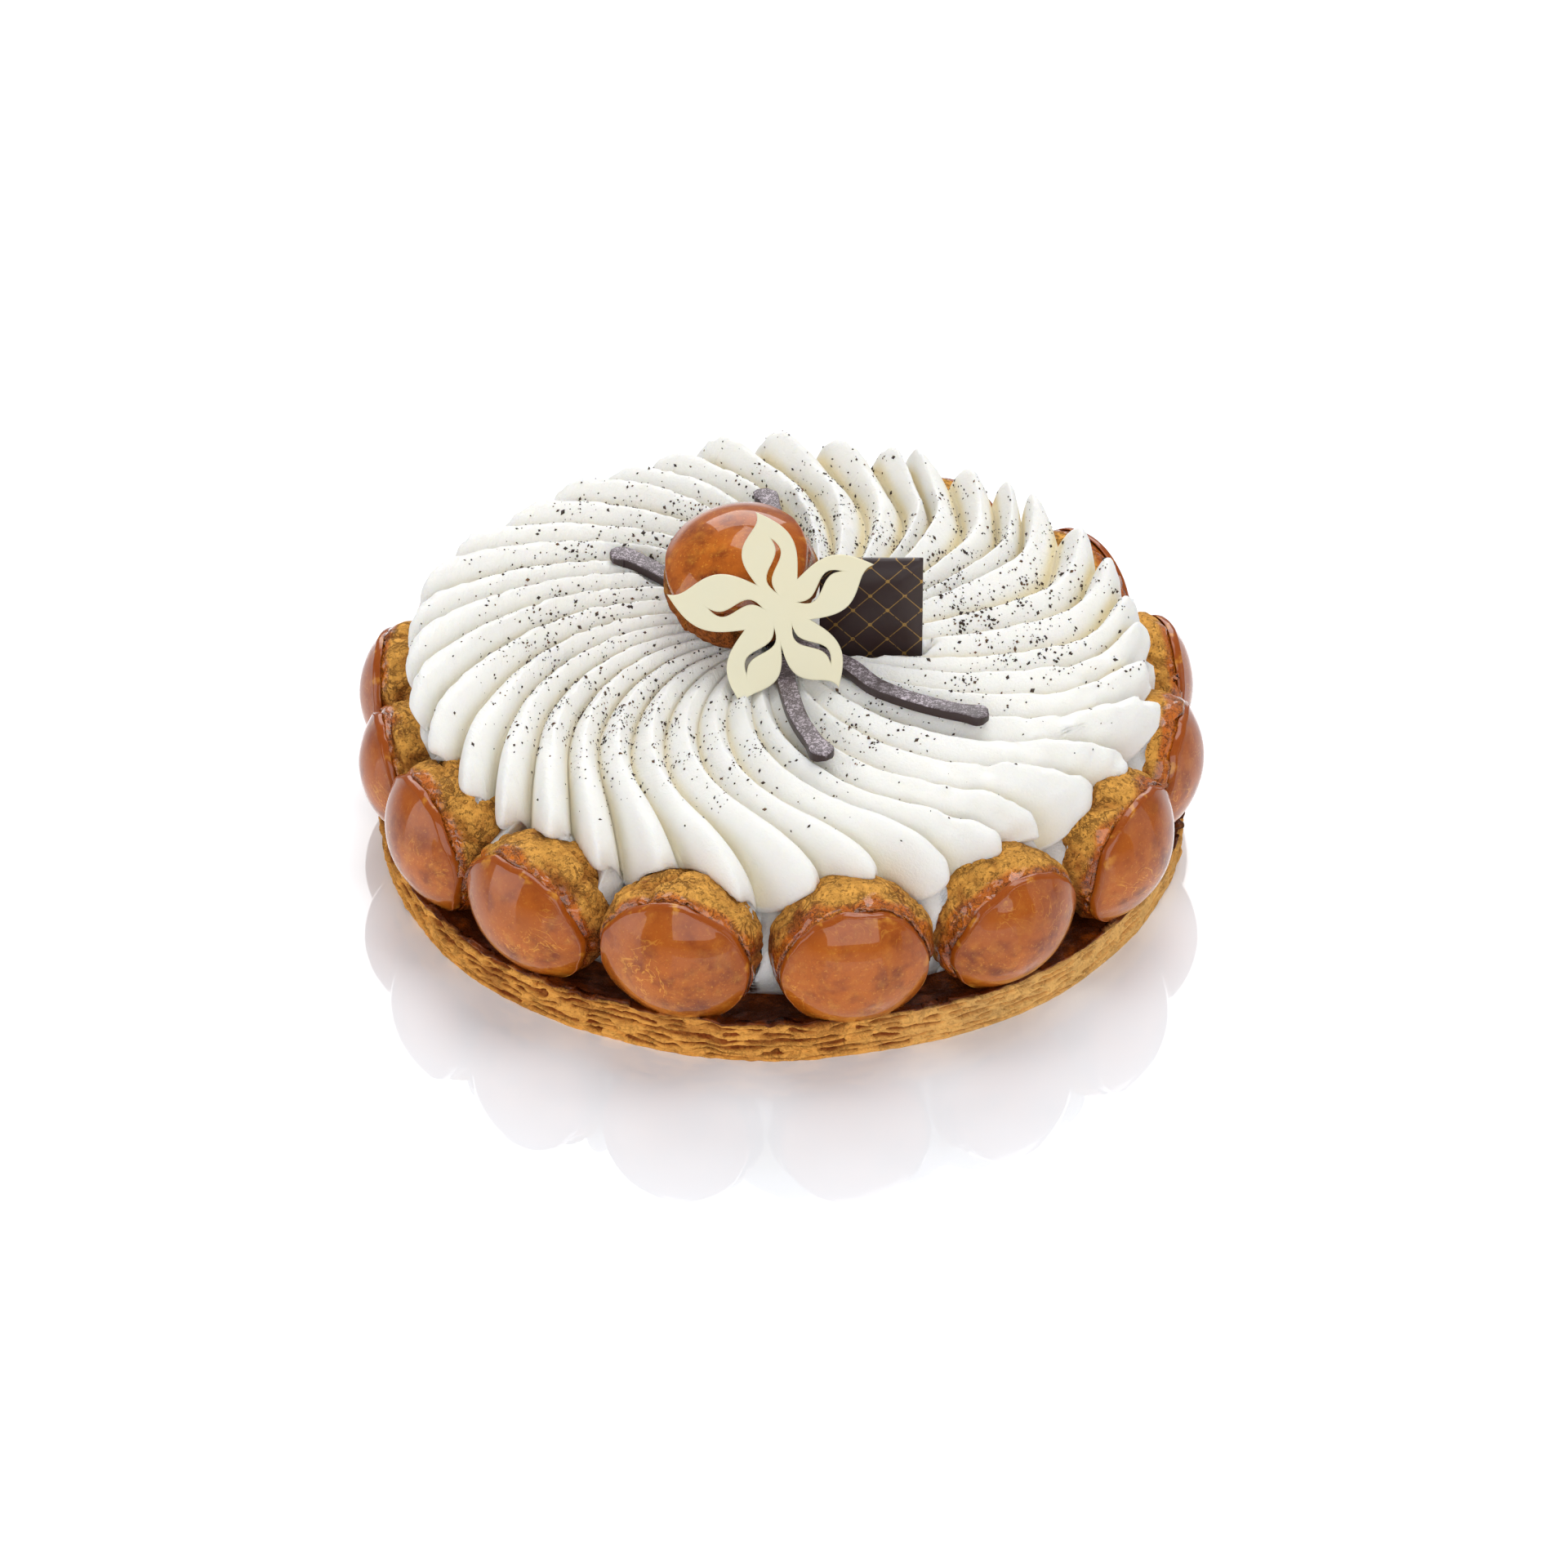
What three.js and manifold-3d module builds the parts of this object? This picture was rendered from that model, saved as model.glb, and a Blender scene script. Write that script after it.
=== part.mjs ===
// A round saint-honore cake: a flaky puff pastry disc, a ring of fifteen caramel-dipped
// choux, whipped cream piped over the top in curved petals, and a centre decoration of one
// larger chou, two chocolate pods, a chocolate plaque and a white chocolate flower.
// Millimetres, +Z up, origin at the centre of the underside, front of the cake towards -Y.

import * as THREE from 'three';
import { mergeVertices } from 'three/addons/utils/BufferGeometryUtils.js';
import Module from 'manifold-3d';

const wasm = await Module();
wasm.setup();

// ---------------------------------------------------------------- driving dimensions

const GAP = 0.3; // clearance left between pieces that touch

const BASE_RADIUS = 110; // pastry disc
const BASE_BULGE = 1.6; // how much further the disc reaches at the front left
const BASE_BULGE_AZIMUTH = 225;
const BASE_TOP = 8.5; // where the choux and the cream stand
const BASE_SEGMENTS = 60;
const BASE_SHOULDER = 6; // from the edge in to where the top face starts to slope down
const BASE_SLOPE = 16; // from the edge in to the flat of the top face
const RIM_LIP = 0.6; // least height of the pastry edge above the flat
const RIM_RISE = 3.4; // how far the edge puffs up where it puffs most
const RIM_RISE_AZIMUTH = 255;
const RIM_WAVE = 0.5; // unevenness of the edge's height
const LEAF_DEPTH = 0.9; // in-and-out relief of the pastry leaves at the side
const LEAF_LEVELS = [0, 0.2, 0.4, 0.6, 0.8, 1]; // as shares of the edge height

const RING_RADIUS = 101.8; // centres of the ring choux
const CHOU_CENTRE_Z = 28.7;
const CHOU_HALF = { front: 15.8, back: 19.5, width: 21.5, height: 21 };
const CHOU_SEGMENTS = 12;
const CHOU_LUMP = 0.7; // unevenness of the baked body
const CHOU_RINGS = [-0.92, -0.72, -0.4, -0.05, 0.14]; // as shares of its half depth
// One row for each chou, counter-clockwise from the front left: its azimuth, its size,
// how far its sides are squeezed in by its neighbours, and how far in it is pushed.
const RING_CHOUX = [
  { azimuth: 230.1, size: 0.985, squeeze: 1, inset: 0 },
  { azimuth: 254.5, size: 1.03, squeeze: 1, inset: 0 },
  { azimuth: 280.1, size: 1.013, squeeze: 1, inset: 0 },
  { azimuth: 304.7, size: 0.976, squeeze: 1, inset: 0 },
  { azimuth: 329.7, size: 1, squeeze: 1, inset: 0 },
  { azimuth: 352.9, size: 0.974, squeeze: 0.97, inset: 2.4 },
  { azimuth: 375.4, size: 0.953, squeeze: 0.97, inset: 0.7 },
  { azimuth: 399.3, size: 1.03, squeeze: 1, inset: 1.2 },
  { azimuth: 424.8, size: 1, squeeze: 1, inset: 0 },
  { azimuth: 451, size: 1, squeeze: 1, inset: 1 },
  { azimuth: 477.5, size: 1, squeeze: 1, inset: 3 },
  { azimuth: 509, size: 0.98, squeeze: 1, inset: 1.6 },
  { azimuth: 528, size: 0.96, squeeze: 0.9, inset: -2.2 },
  { azimuth: 547.5, size: 0.93, squeeze: 0.9, inset: 0 },
  { azimuth: 566.9, size: 0.99, squeeze: 0.97, inset: 0 },
];

const CAP_CURVE = 26; // radius of the caramel dome
const CAP_THICKNESS = 1.2;
const CAP_RIM = 20; // radius of its edge
const CAP_RINGS = { middle: 0.55, inner: 0.97 }; // as shares of that radius
const CAP_TILTS = [12, 10, 9, 12, 8]; // degrees that the caps look down, taken in turn

const CENTRE_CHOU = { x: -11.7, y: 11, z: 73.2, radius: 21, flatness: 0.86, foot: 62.2 };
const CENTRE_CAP = { lean: 17, azimuth: 238 }; // degrees off upright, and towards where

const CREAM_RADIUS = 99; // reach of the petal tips
// Where the tips reach further out or less far, and how wide each such stretch is.
const CREAM_BUMPS = [
  { azimuth: 166, spread: 62, reach: 4.5 },
  { azimuth: 214, spread: 45, reach: -3.5 },
  { azimuth: 322, spread: 40, reach: 2 },
];
const CREAM_CORE = 92; // wall of the cream between the choux, upright up to the next height
const CREAM_CORE_TOP = 36;
const LIP = { inward: 0.985, drop: 3 }; // underside of the petal tips
const CREAM_TOP = 60.5; // height of the petal crests
const CREAM_SHOULDER = { azimuth: 135, rise: 2 }; // crests are higher at the back left
const GROOVE = { centre: 1.5, middle: 5, edge: 3, finEdge: 2, power: 1.6 }; // depths
const TIP_ROUND = { tongue: 4, fin: 2 }; // how far a groove ends short of its crest
const FIN_AZIMUTH = 40; // the petals here end as upright fins
const FIN_PEAK = { rise: 5.5, place: 4.5, length: 6 }; // hump near a fin's end
const BLUNT_END = { length: 6, drop: 9 }; // rounding of the petals that stay level
const DROOP_AZIMUTH = 262; // the petals here hang over the choux as tongues
const DROOP_END = { length: 15, drop: 10.5, sag: 4 }; // sag is added between two choux
const SWIRL_RADIUS = 80; // where the crest angles below are measured
const SWIRL_STRAIGHT = 35; // azimuth where the petals curl least; they curl most opposite
const FIRST_CREST = 166.5;
// Width of each petal in degrees, counter-clockwise from the left of the cake.
const PETAL_WIDTHS = [
  11, 10, 11.5, 10, 10.5, 9.5, 11, 10.5, 11.5, 10, 11, 8, 9, 10.5, 11, 11, 9, 9.5, 7.8, 12,
  10, 13.5, 5.3, 7.9, 10, 4.5, 8.8, 10.4, 9.4, 8.2, 8.7, 8.6, 9.9, 10.3, 10.1, 10.4,
];
const CREAM_LINES = [0.16, 0.38, 0.6, 0.77, 0.89, 0.96];
const PETAL_SAMPLES = [-1, -0.5, 0, 0.5]; // across one petal: groove, flank, crest, flank

const FLOWER = { x: -0.8, y: -13.6, z: 79.2, face: 32, thickness: 2.2 };
// One row for each petal: the angle and the distance of its tip from the flower's centre,
// the side on which the tip is hooked, and the same two for the notch after the petal.
const FLOWER_PETALS = [
  { tip: [26.4, 27.9], hook: -1, notch: [62.6, 9.5] },
  { tip: [104.4, 27.4], hook: 1, notch: [133.7, 9.6] },
  { tip: [171.9, 31], hook: -1, notch: [208, 11.1] },
  { tip: [248.3, 27.8], hook: 1, notch: [270, 9.4] },
  { tip: [306.7, 26], hook: -1, notch: [343, 8.2] },
];
const PETAL_BULGE = 4.6; // of a petal's side beyond the straight line from notch to tip
const PETAL_HOOK = 2.4; // how far the hooked side is hollowed near the tip
const PETAL_STEPS = 7;
const SLIT_STEPS = 5;
const SLIT = { start: 5, end: 19.5, halfWidth: 0.95, swing: 1.6, drift: 2.2 };

const POD = { width: 6.3, height: 3, rest: CREAM_TOP + 2 };
const POD_HEAD = { place: 3, length: 2, swell: 0.12 }; // small bulge near each end
const POD_WAIST = { start: 3, end: 9, narrowing: 0.18 }; // from the head to the full length
const POD_SECTION = 6;
const POD_STEPS = 22;
const POD_ROUTES = [
  [[-47, 36.2], [-44.3, 37.9], [-32.4, 29.6], [-14, 14], [5, -2.5], [16.5, -15.2], [25, -25.9],
    [34.5, -32.2], [45, -36.9], [54.8, -39.8]],
  [[-8, 66.6], [-5.4, 67.6], [-3.3, 61], [-2, 40], [-1, 12], [0.3, -10.5], [1, -26],
    [4, -41.4], [9, -54.4], [11.2, -59.2]],
];
const POD_DIPS = [-4.6, -9]; // how far each pod is pressed down under the centre chou
const POD_DIP_REACH = { inner: 16, outer: 34 }; // from the centre chou's axis

const PLAQUE = { x: 23.6, y: 1, width: 28, thickness: 1.5, bottom: 52, top: 86.4 };

// ---------------------------------------------------------------- small helpers

const radians = THREE.MathUtils.degToRad;
const smooth = THREE.MathUtils.smoothstep;

function polar(azimuth, radius, z) {
  const a = radians(azimuth);
  return new THREE.Vector3(radius * Math.cos(a), radius * Math.sin(a), z);
}

// A smooth repeatable unevenness between -1 and 1 from three sines of unlike pitch.
function wobble(a, b, seed) {
  return (Math.sin(a * 1.7 + seed * 2.3) + Math.sin(b * 2.1 + seed * 4.1)
    + Math.sin(a * 0.9 - b * 1.3 + seed)) / 3;
}

// A closed surface through rings of points, each counter-clockwise and stacked upwards,
// shut at both ends by a fan to a pole.
function closedRings(bottom, rings, top) {
  const count = rings[0].length;
  const points = [bottom, ...rings.flat(), top];
  const index = [];
  const at = (ring, i) => 1 + ring * count + (i % count);
  for (let i = 0; i < count; i++) {
    index.push(0, at(0, i + 1), at(0, i));
    for (let ring = 0; ring + 1 < rings.length; ring++) {
      index.push(at(ring, i), at(ring, i + 1), at(ring + 1, i + 1));
      index.push(at(ring, i), at(ring + 1, i + 1), at(ring + 1, i));
    }
    index.push(points.length - 1, at(rings.length - 1, i), at(rings.length - 1, i + 1));
  }
  const geometry = new THREE.BufferGeometry().setFromPoints(points);
  geometry.setIndex(index);
  return geometry;
}

function toSolid(geometry) {
  const bare = geometry.clone();
  bare.deleteAttribute('normal');
  bare.deleteAttribute('uv');
  const merged = mergeVertices(bare, 1e-4);
  return new wasm.Manifold(new wasm.Mesh({
    numProp: 3,
    vertProperties: new Float32Array(merged.attributes.position.array),
    triVerts: new Uint32Array(merged.index.array),
  }));
}

function toGeometry(solid) {
  const mesh = solid.getMesh();
  const geometry = new THREE.BufferGeometry();
  geometry.setAttribute('position', new THREE.BufferAttribute(mesh.vertProperties, 3));
  geometry.setIndex(new THREE.BufferAttribute(mesh.triVerts, 1));
  return geometry;
}

// ---------------------------------------------------------------- choux and caramel

// Where one chou stands: its centre, the axis its cap looks along, and its half sizes.
function ringChou(index) {
  const { azimuth, size, squeeze, inset } = RING_CHOUX[index];
  const out = polar(azimuth, 1, 0);
  const tilt = radians(CAP_TILTS[index % CAP_TILTS.length]);
  const axis = out.clone().multiplyScalar(Math.cos(tilt));
  axis.z = -Math.sin(tilt);
  const side = polar(azimuth + 90, 1, 0);
  return {
    centre: polar(azimuth, RING_RADIUS - inset, CHOU_CENTRE_Z + (size - 1) * CHOU_HALF.height),
    axis, side, up: new THREE.Vector3().crossVectors(axis, side),
    half: {
      front: CHOU_HALF.front * size,
      back: CHOU_HALF.back * size,
      width: CHOU_HALF.width * size * squeeze,
      height: CHOU_HALF.height * size,
    },
    size, squeeze, seed: index + 1, foot: BASE_TOP + GAP, walls: wallsBeside(index),
  };
}

// The upright planes halfway to each neighbour, which keep two choux apart.
function wallsBeside(index) {
  const here = RING_CHOUX[index];
  return [-1, 1].map((step) => {
    const next = (index + step + RING_CHOUX.length) % RING_CHOUX.length;
    const there = RING_CHOUX[next];
    let turn = (there.azimuth - here.azimuth) % 360;
    if (Math.sign(turn) !== step) turn += step * 360;
    const share = here.size * here.squeeze
      / (here.size * here.squeeze + there.size * there.squeeze);
    return polar(here.azimuth + turn * share - step * 90, 1, 0);
  });
}

function centreChou() {
  const lean = radians(CENTRE_CAP.lean);
  const axis = polar(CENTRE_CAP.azimuth, Math.sin(lean), Math.cos(lean));
  const side = polar(CENTRE_CAP.azimuth + 90, 1, 0);
  const { x, y, z, radius, flatness, foot } = CENTRE_CHOU;
  const half = radius * flatness;
  return {
    centre: new THREE.Vector3(x, y, z), axis, side,
    up: new THREE.Vector3().crossVectors(axis, side),
    half: { front: half, back: half, width: radius, height: radius },
    size: 1, squeeze: 1, seed: 16, foot, walls: [],
  };
}

// A point of a chou from its place along the axis and its two offsets across it, kept
// above the foot and clear of the neighbours' planes.
function chouPoint(chou, along, across, upward, grow) {
  const point = chou.centre.clone().addScaledVector(chou.axis, along)
    .addScaledVector(chou.side, across).addScaledVector(chou.up, upward);
  for (const wall of chou.walls) {
    const distance = point.dot(wall) - GAP / 2 + grow;
    if (distance < 0) point.addScaledVector(wall, -distance);
  }
  point.z = Math.max(point.z, chou.foot - grow);
  return point;
}

// Height of the caramel dome along the chou's axis at a radius from that axis.
function domeAlong(chou, radius, inset) {
  const curve = CAP_CURVE * chou.size;
  return chou.half.front - curve + Math.sqrt((curve - inset) ** 2 - radius ** 2);
}

// The baked body: an uneven ellipsoid behind the cap, and the dipped dome before it.
// With grow above 0 it is the room that the chou and its cap take up.
function chouBody(chou, grow = 0) {
  const inset = grow > 0 ? -grow : CAP_THICKNESS + GAP;
  const { front, back, width, height } = chou.half;
  const rimAlong = domeAlong(chou, CAP_RIM * chou.size, CAP_THICKNESS + GAP);
  const rings = [];
  for (const share of CHOU_RINGS) {
    const along = share * (share < 0 ? back : front);
    rings.push(ringAcross((a) => {
      const lump = 1 + CHOU_LUMP / width * wobble(a * 2, share * 5, chou.seed);
      const across = Math.sqrt(1 - share * share) * lump;
      return chouPoint(chou, along - Math.sign(-share) * grow * 0.5,
        (across * width + grow) * Math.cos(a), (across * height + grow) * Math.sin(a), grow);
    }));
  }
  const rim = Math.sqrt(1 - (rimAlong / front) ** 2);
  const edge = Math.min(rim * height, CAP_RIM * chou.size) + Math.max(grow * 3, 0);
  for (const radius of [edge, edge * CAP_RINGS.middle]) {
    rings.push(ringAcross((a) => chouPoint(chou, domeAlong(chou, radius, inset),
      radius * Math.cos(a) * chou.squeeze, radius * Math.sin(a), 4 * grow)));
  }
  const rear = chouPoint(chou, -back - grow, 0, 0, grow);
  return closedRings(rear, rings, chouPoint(chou, domeAlong(chou, 0, inset), 0, 0, grow));
}

function ringAcross(pointAt) {
  return Array.from({ length: CHOU_SEGMENTS }, (_, i) => pointAt(i / CHOU_SEGMENTS * 2 * Math.PI));
}

// The caramel shell: a dome of even thickness with a crisp, slightly wavy rim.
function caramelCap(chou) {
  const rimAt = (a) => CAP_RIM * chou.size * (1 + 0.02 * wobble(a * 2, 0, chou.seed + 7));
  const ringAt = (share, inset) => ringAcross((a) => {
    const radius = rimAt(a) * share;
    return chouPoint(chou, domeAlong(chou, radius, inset),
      radius * Math.cos(a) * chou.squeeze, radius * Math.sin(a), -GAP);
  });
  const inner = chouPoint(chou, domeAlong(chou, 0, CAP_THICKNESS), 0, 0, -GAP);
  const outer = chouPoint(chou, domeAlong(chou, 0, 0), 0, 0, -GAP);
  // From the apex of the inner face out to the rim, then back over the outer face.
  return closedRings(inner, [
    ringAt(CAP_RINGS.middle, CAP_THICKNESS), ringAt(CAP_RINGS.inner, CAP_THICKNESS),
    ringAt(1, 0), ringAt(CAP_RINGS.middle, 0),
  ], outer);
}

// ---------------------------------------------------------------- pastry base

function rimHeight(azimuth) {
  const rise = 0.5 + 0.5 * Math.cos(radians(azimuth - RIM_RISE_AZIMUTH));
  return BASE_TOP + RIM_LIP + RIM_RISE * rise ** 1.5
    + RIM_WAVE * wobble(radians(azimuth) * 9, 1, 3);
}

function baseReach(azimuth) {
  const near = Math.cos(radians(azimuth - BASE_BULGE_AZIMUTH));
  return BASE_RADIUS + BASE_BULGE * smooth(near, 0.4, 1);
}

function pastryBase() {
  const ring = (pointAt) => Array.from({ length: BASE_SEGMENTS },
    (_, i) => pointAt(i / BASE_SEGMENTS * 360));
  const rings = LEAF_LEVELS.map((share, level) => ring((azimuth) => {
    const leaf = level % 2 ? LEAF_DEPTH : -LEAF_DEPTH;
    const wave = LEAF_DEPTH * wobble(radians(azimuth) * 7, share * 4, level);
    return polar(azimuth, baseReach(azimuth) - LEAF_DEPTH + leaf / 2 + wave / 2,
      share * rimHeight(azimuth));
  }));
  rings.push(ring((azimuth) => polar(azimuth, baseReach(azimuth) - BASE_SHOULDER,
    (rimHeight(azimuth) + BASE_TOP) / 2)));
  rings.push(ring((azimuth) => polar(azimuth, BASE_RADIUS - BASE_SLOPE, BASE_TOP)));
  const under = new THREE.Vector3(0, 0, 0);
  return closedRings(under, rings, new THREE.Vector3(0, 0, BASE_TOP));
}

// ---------------------------------------------------------------- piped cream

// Radians that a petal has turned at a radius, for a petal that crosses the 80 mm circle
// at an angle: a bent line whose two slopes depend on which side of the cake it is on.
function swirlTurn(radius, angle) {
  const straight = 0.5 + 0.5 * Math.cos(angle - radians(SWIRL_STRAIGHT));
  const u = (radius - SWIRL_RADIUS) / SWIRL_RADIUS;
  const bend = Math.sqrt(u * u + 0.003) - Math.sqrt(0.003);
  return (1.1 - 0.5 * straight) * u + (0.5 * straight - 0.15) * bend;
}

// How near an angle is to an azimuth: 1 at it, and 0 where the cosine falls to the floor.
function nearness(angle, azimuth, floor, full) {
  return smooth(Math.cos(angle - radians(azimuth)), floor, full);
}

// 0 in front of a chou and 1 in the gap between two.
function betweenChoux(angle) {
  const turns = RING_CHOUX.map((chou) => Math.cos(angle - radians(chou.azimuth)));
  return smooth(Math.acos(Math.min(1, Math.max(...turns))), radians(4), radians(12));
}

// Height of a crest at a distance in from the petal's tip. Drooping petals round off over
// a long way, and the others stay level and end blunt; the fins have a hump before it.
function crestHeight(fromTip, angle) {
  const rounded = (length) => 1 - Math.sqrt(1 - (1 - Math.min(fromTip / length, 1)) ** 2);
  const droop = nearness(angle, DROOP_AZIMUTH, 0, 0.6);
  const hump = Math.exp(-(((fromTip - FIN_PEAK.place) / FIN_PEAK.length) ** 2));
  return CREAM_TOP
    + CREAM_SHOULDER.rise * nearness(angle, CREAM_SHOULDER.azimuth, 0.3, 0.9)
    + FIN_PEAK.rise * hump * finShare(angle)
    - (DROOP_END.drop + DROOP_END.sag * betweenChoux(angle)) * droop * rounded(DROOP_END.length)
    - BLUNT_END.drop * (1 - droop) * rounded(BLUNT_END.length);
}

function finShare(angle) {
  return nearness(angle, FIN_AZIMUTH, 0.35, 0.85);
}

// Depth of the grooves beside a crest: shallow at the centre, deep at the edge, and
// deepest between the fins.
function grooveDepth(share, fin) {
  return GROOVE.centre + (GROOVE.middle + fin) * smooth(share, 0.05, 0.75)
    + (GROOVE.edge + GROOVE.finEdge * fin) * smooth(share, 0.7, 1);
}

function creamReach(angle) {
  const bumps = CREAM_BUMPS.map(({ azimuth, spread, reach }) => reach
    * nearness(angle, azimuth, Math.cos(radians(spread)), 1));
  return bumps.reduce((sum, bump) => sum + bump, CREAM_RADIUS);
}

function creamPoint(crest, across, halfWidth, share) {
  const plain = radians(crest + across * halfWidth);
  const fin = finShare(plain);
  const short = THREE.MathUtils.lerp(TIP_ROUND.tongue, TIP_ROUND.fin, fin);
  const edge = creamReach(plain) - short * across ** 2;
  const radius = share * edge;
  const angle = plain + swirlTurn(radius, plain);
  const z = crestHeight(edge - radius, angle)
    - grooveDepth(share, fin) * Math.abs(across) ** GROOVE.power;
  return new THREE.Vector3(radius * Math.cos(angle), radius * Math.sin(angle), z);
}

function pipedCream() {
  const crests = [FIRST_CREST];
  for (const width of PETAL_WIDTHS) crests.push(crests.at(-1) + width);
  const line = (pointAt) => crests.flatMap((crest, i) => {
    const before = i ? crests[i - 1] : crests.at(-1) - 360;
    const after = crests[i + 1] ?? crests[0] + 360;
    return PETAL_SAMPLES.map((across) => {
      const halfWidth = (across < 0 ? crest - before : after - crest) / 2;
      return pointAt(crest, across, halfWidth);
    });
  });
  const lip = line((...petal) => creamPoint(...petal, 1));
  const below = (radius, z) => lip.map((p) => {
    const flat = Math.hypot(p.x, p.y);
    return new THREE.Vector3(p.x / flat * radius, p.y / flat * radius, z);
  });
  const foot = BASE_TOP + GAP;
  const rings = [below(CREAM_CORE, foot), below(CREAM_CORE, CREAM_CORE_TOP)];
  rings.push(lip.map((p) => new THREE.Vector3(p.x * LIP.inward, p.y * LIP.inward, p.z - LIP.drop)),
    lip);
  for (const share of [...CREAM_LINES].reverse()) {
    rings.push(line((...petal) => creamPoint(...petal, share)));
  }
  return closedRings(new THREE.Vector3(0, 0, foot), rings,
    new THREE.Vector3(0, 0, CREAM_TOP - 1));
}

// ---------------------------------------------------------------- chocolate decorations

// A point of the flower's plane from its angle in degrees and its distance.
function flat([angle, distance]) {
  return new THREE.Vector2(distance, 0).rotateAround(new THREE.Vector2(), radians(angle));
}

// One side of a petal of the flower, from one end to just before the other: the straight
// line between notch and tip, swollen outwards, and hollowed near the tip if it is hooked.
function petalSide(from, to, hooked, towardsTip) {
  const start = flat(from);
  const end = flat(to);
  const outwards = new THREE.Vector2(end.y - start.y, start.x - end.x).normalize();
  return Array.from({ length: PETAL_STEPS }, (_, i) => {
    const t = i / PETAL_STEPS;
    const alongPetal = towardsTip ? t : 1 - t;
    const swell = PETAL_BULGE * Math.sin(Math.PI * alongPetal)
      - (hooked ? PETAL_HOOK * Math.sin(Math.PI * alongPetal ** 3) : 0);
    return start.clone().lerp(end, t).addScaledVector(outwards, swell);
  });
}

// The S-shaped slit of a petal, widest in the middle and closed to a point at both ends.
function slitOutline(angle, hook) {
  const at = (t, sign) => new THREE.Vector2(
    SLIT.start + (SLIT.end - SLIT.start) * t,
    hook * (SLIT.swing * Math.sin(2 * Math.PI * t) - SLIT.drift * t)
      + sign * SLIT.halfWidth * Math.sin(Math.PI * t),
  ).rotateAround(new THREE.Vector2(), radians(angle));
  const side = (sign) => Array.from({ length: SLIT_STEPS }, (_, i) => at(i / SLIT_STEPS, sign));
  return [...side(-1), at(1, 0), ...side(1).slice(1).reverse()];
}

function flowerShape(grow) {
  const shape = new THREE.Shape();
  const outline = FLOWER_PETALS.flatMap(({ tip, hook, notch }, i) => {
    if (grow === 0) shape.holes.push(new THREE.Path(slitOutline(tip[0], hook)));
    const before = FLOWER_PETALS.at(i - 1).notch;
    return [...petalSide(before, tip, hook < 0, true), ...petalSide(tip, notch, hook > 0, false)];
  });
  for (const point of outline) point.setLength(point.length() + grow);
  shape.setFromPoints(outline);
  return shape;
}

function flower(grow = 0) {
  const geometry = new THREE.ExtrudeGeometry(flowerShape(grow), {
    depth: FLOWER.thickness + 2 * grow, bevelEnabled: false, curveSegments: 1,
  });
  geometry.translate(0, 0, -FLOWER.thickness / 2 - grow);
  geometry.rotateX(radians(90 - FLOWER.face));
  geometry.translate(FLOWER.x, FLOWER.y, FLOWER.z);
  return geometry;
}

// A pod: a flat strip with rounded shoulders and a small knob at each end, laid along its
// route over the cream and pressed down where the centre chou stands on it.
function pod(index, grow = 0) {
  const dip = POD_DIPS[index];
  const route = new THREE.CatmullRomCurve3(POD_ROUTES[index].map(([x, y]) => {
    const away = Math.hypot(x - CENTRE_CHOU.x, y - CENTRE_CHOU.y);
    const pressed = 1 - smooth(away, POD_DIP_REACH.inner, POD_DIP_REACH.outer);
    return new THREE.Vector3(x, y, POD.rest + dip * pressed);
  }));
  const length = route.getLength();
  const up = new THREE.Vector3(0, 0, 1);
  const rings = [];
  for (let i = 0; i <= POD_STEPS; i++) {
    const t = i / POD_STEPS;
    const fromEnd = Math.min(t, 1 - t) * length;
    const girth = 1 + POD_HEAD.swell * Math.exp(-(((fromEnd - POD_HEAD.place) / POD_HEAD.length) ** 2))
      - POD_WAIST.narrowing * smooth(fromEnd, POD_WAIST.start, POD_WAIST.end);
    const round = Math.sqrt(1 - (1 - Math.min((fromEnd + 0.6) / 3, 1)) ** 2);
    const centre = route.getPointAt(t);
    const side = new THREE.Vector3().crossVectors(up, route.getTangentAt(t)).normalize();
    const halfWidth = POD.width / 2 * girth * round + grow;
    const halfHeight = POD.height / 2 + grow;
    rings.push(Array.from({ length: POD_SECTION }, (_, k) => {
      const a = (k + 0.5) / POD_SECTION * 2 * Math.PI;
      const across = Math.max(-1, Math.min(1, Math.cos(a) * 1.25));
      return centre.clone().addScaledVector(side, across * halfWidth)
        .addScaledVector(up, Math.max(-1, Math.min(1, Math.sin(a) * 1.25)) * halfHeight);
    }));
  }
  const end = (t, step) => route.getPointAt(t)
    .addScaledVector(route.getTangentAt(t), step * grow);
  const first = end(0, -1);
  const last = end(1, 1);
  return closedRings(first, rings, last);
}

function plaque(grow = 0) {
  const height = PLAQUE.top - PLAQUE.bottom;
  const geometry = new THREE.BoxGeometry(PLAQUE.width + 2 * grow,
    PLAQUE.thickness + 2 * grow, height + 2 * grow);
  geometry.translate(PLAQUE.x, PLAQUE.y, PLAQUE.bottom + height / 2);
  return geometry;
}

// ---------------------------------------------------------------- the cake

function material(name, color, roughness) {
  return new THREE.MeshStandardMaterial({ name, color, roughness, metalness: 0 });
}

const PASTRY = material('puff pastry', 0xb9803f, 0.75);
const CHOUX = material('choux pastry', 0xc08a45, 0.7);
const CARAMEL = material('caramel', 0xa8531f, 0.08);
const CREAM = material('whipped cream', 0xf4f0e2, 0.5);
const WHITE_CHOCOLATE = material('white chocolate', 0xeee9cf, 0.4);
const DARK_CHOCOLATE = material('dark chocolate', 0x3a2228, 0.35);

const cake = new THREE.Group();

function addPiece(name, geometry, finish) {
  const mesh = new THREE.Mesh(geometry, finish);
  mesh.name = name;
  cake.add(mesh);
}

const ring = RING_CHOUX.map((_, index) => ringChou(index));
const centre = centreChou();
const rooms = ring.map((chou) => toSolid(chouBody(chou, 1.5 * GAP)));

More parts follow.
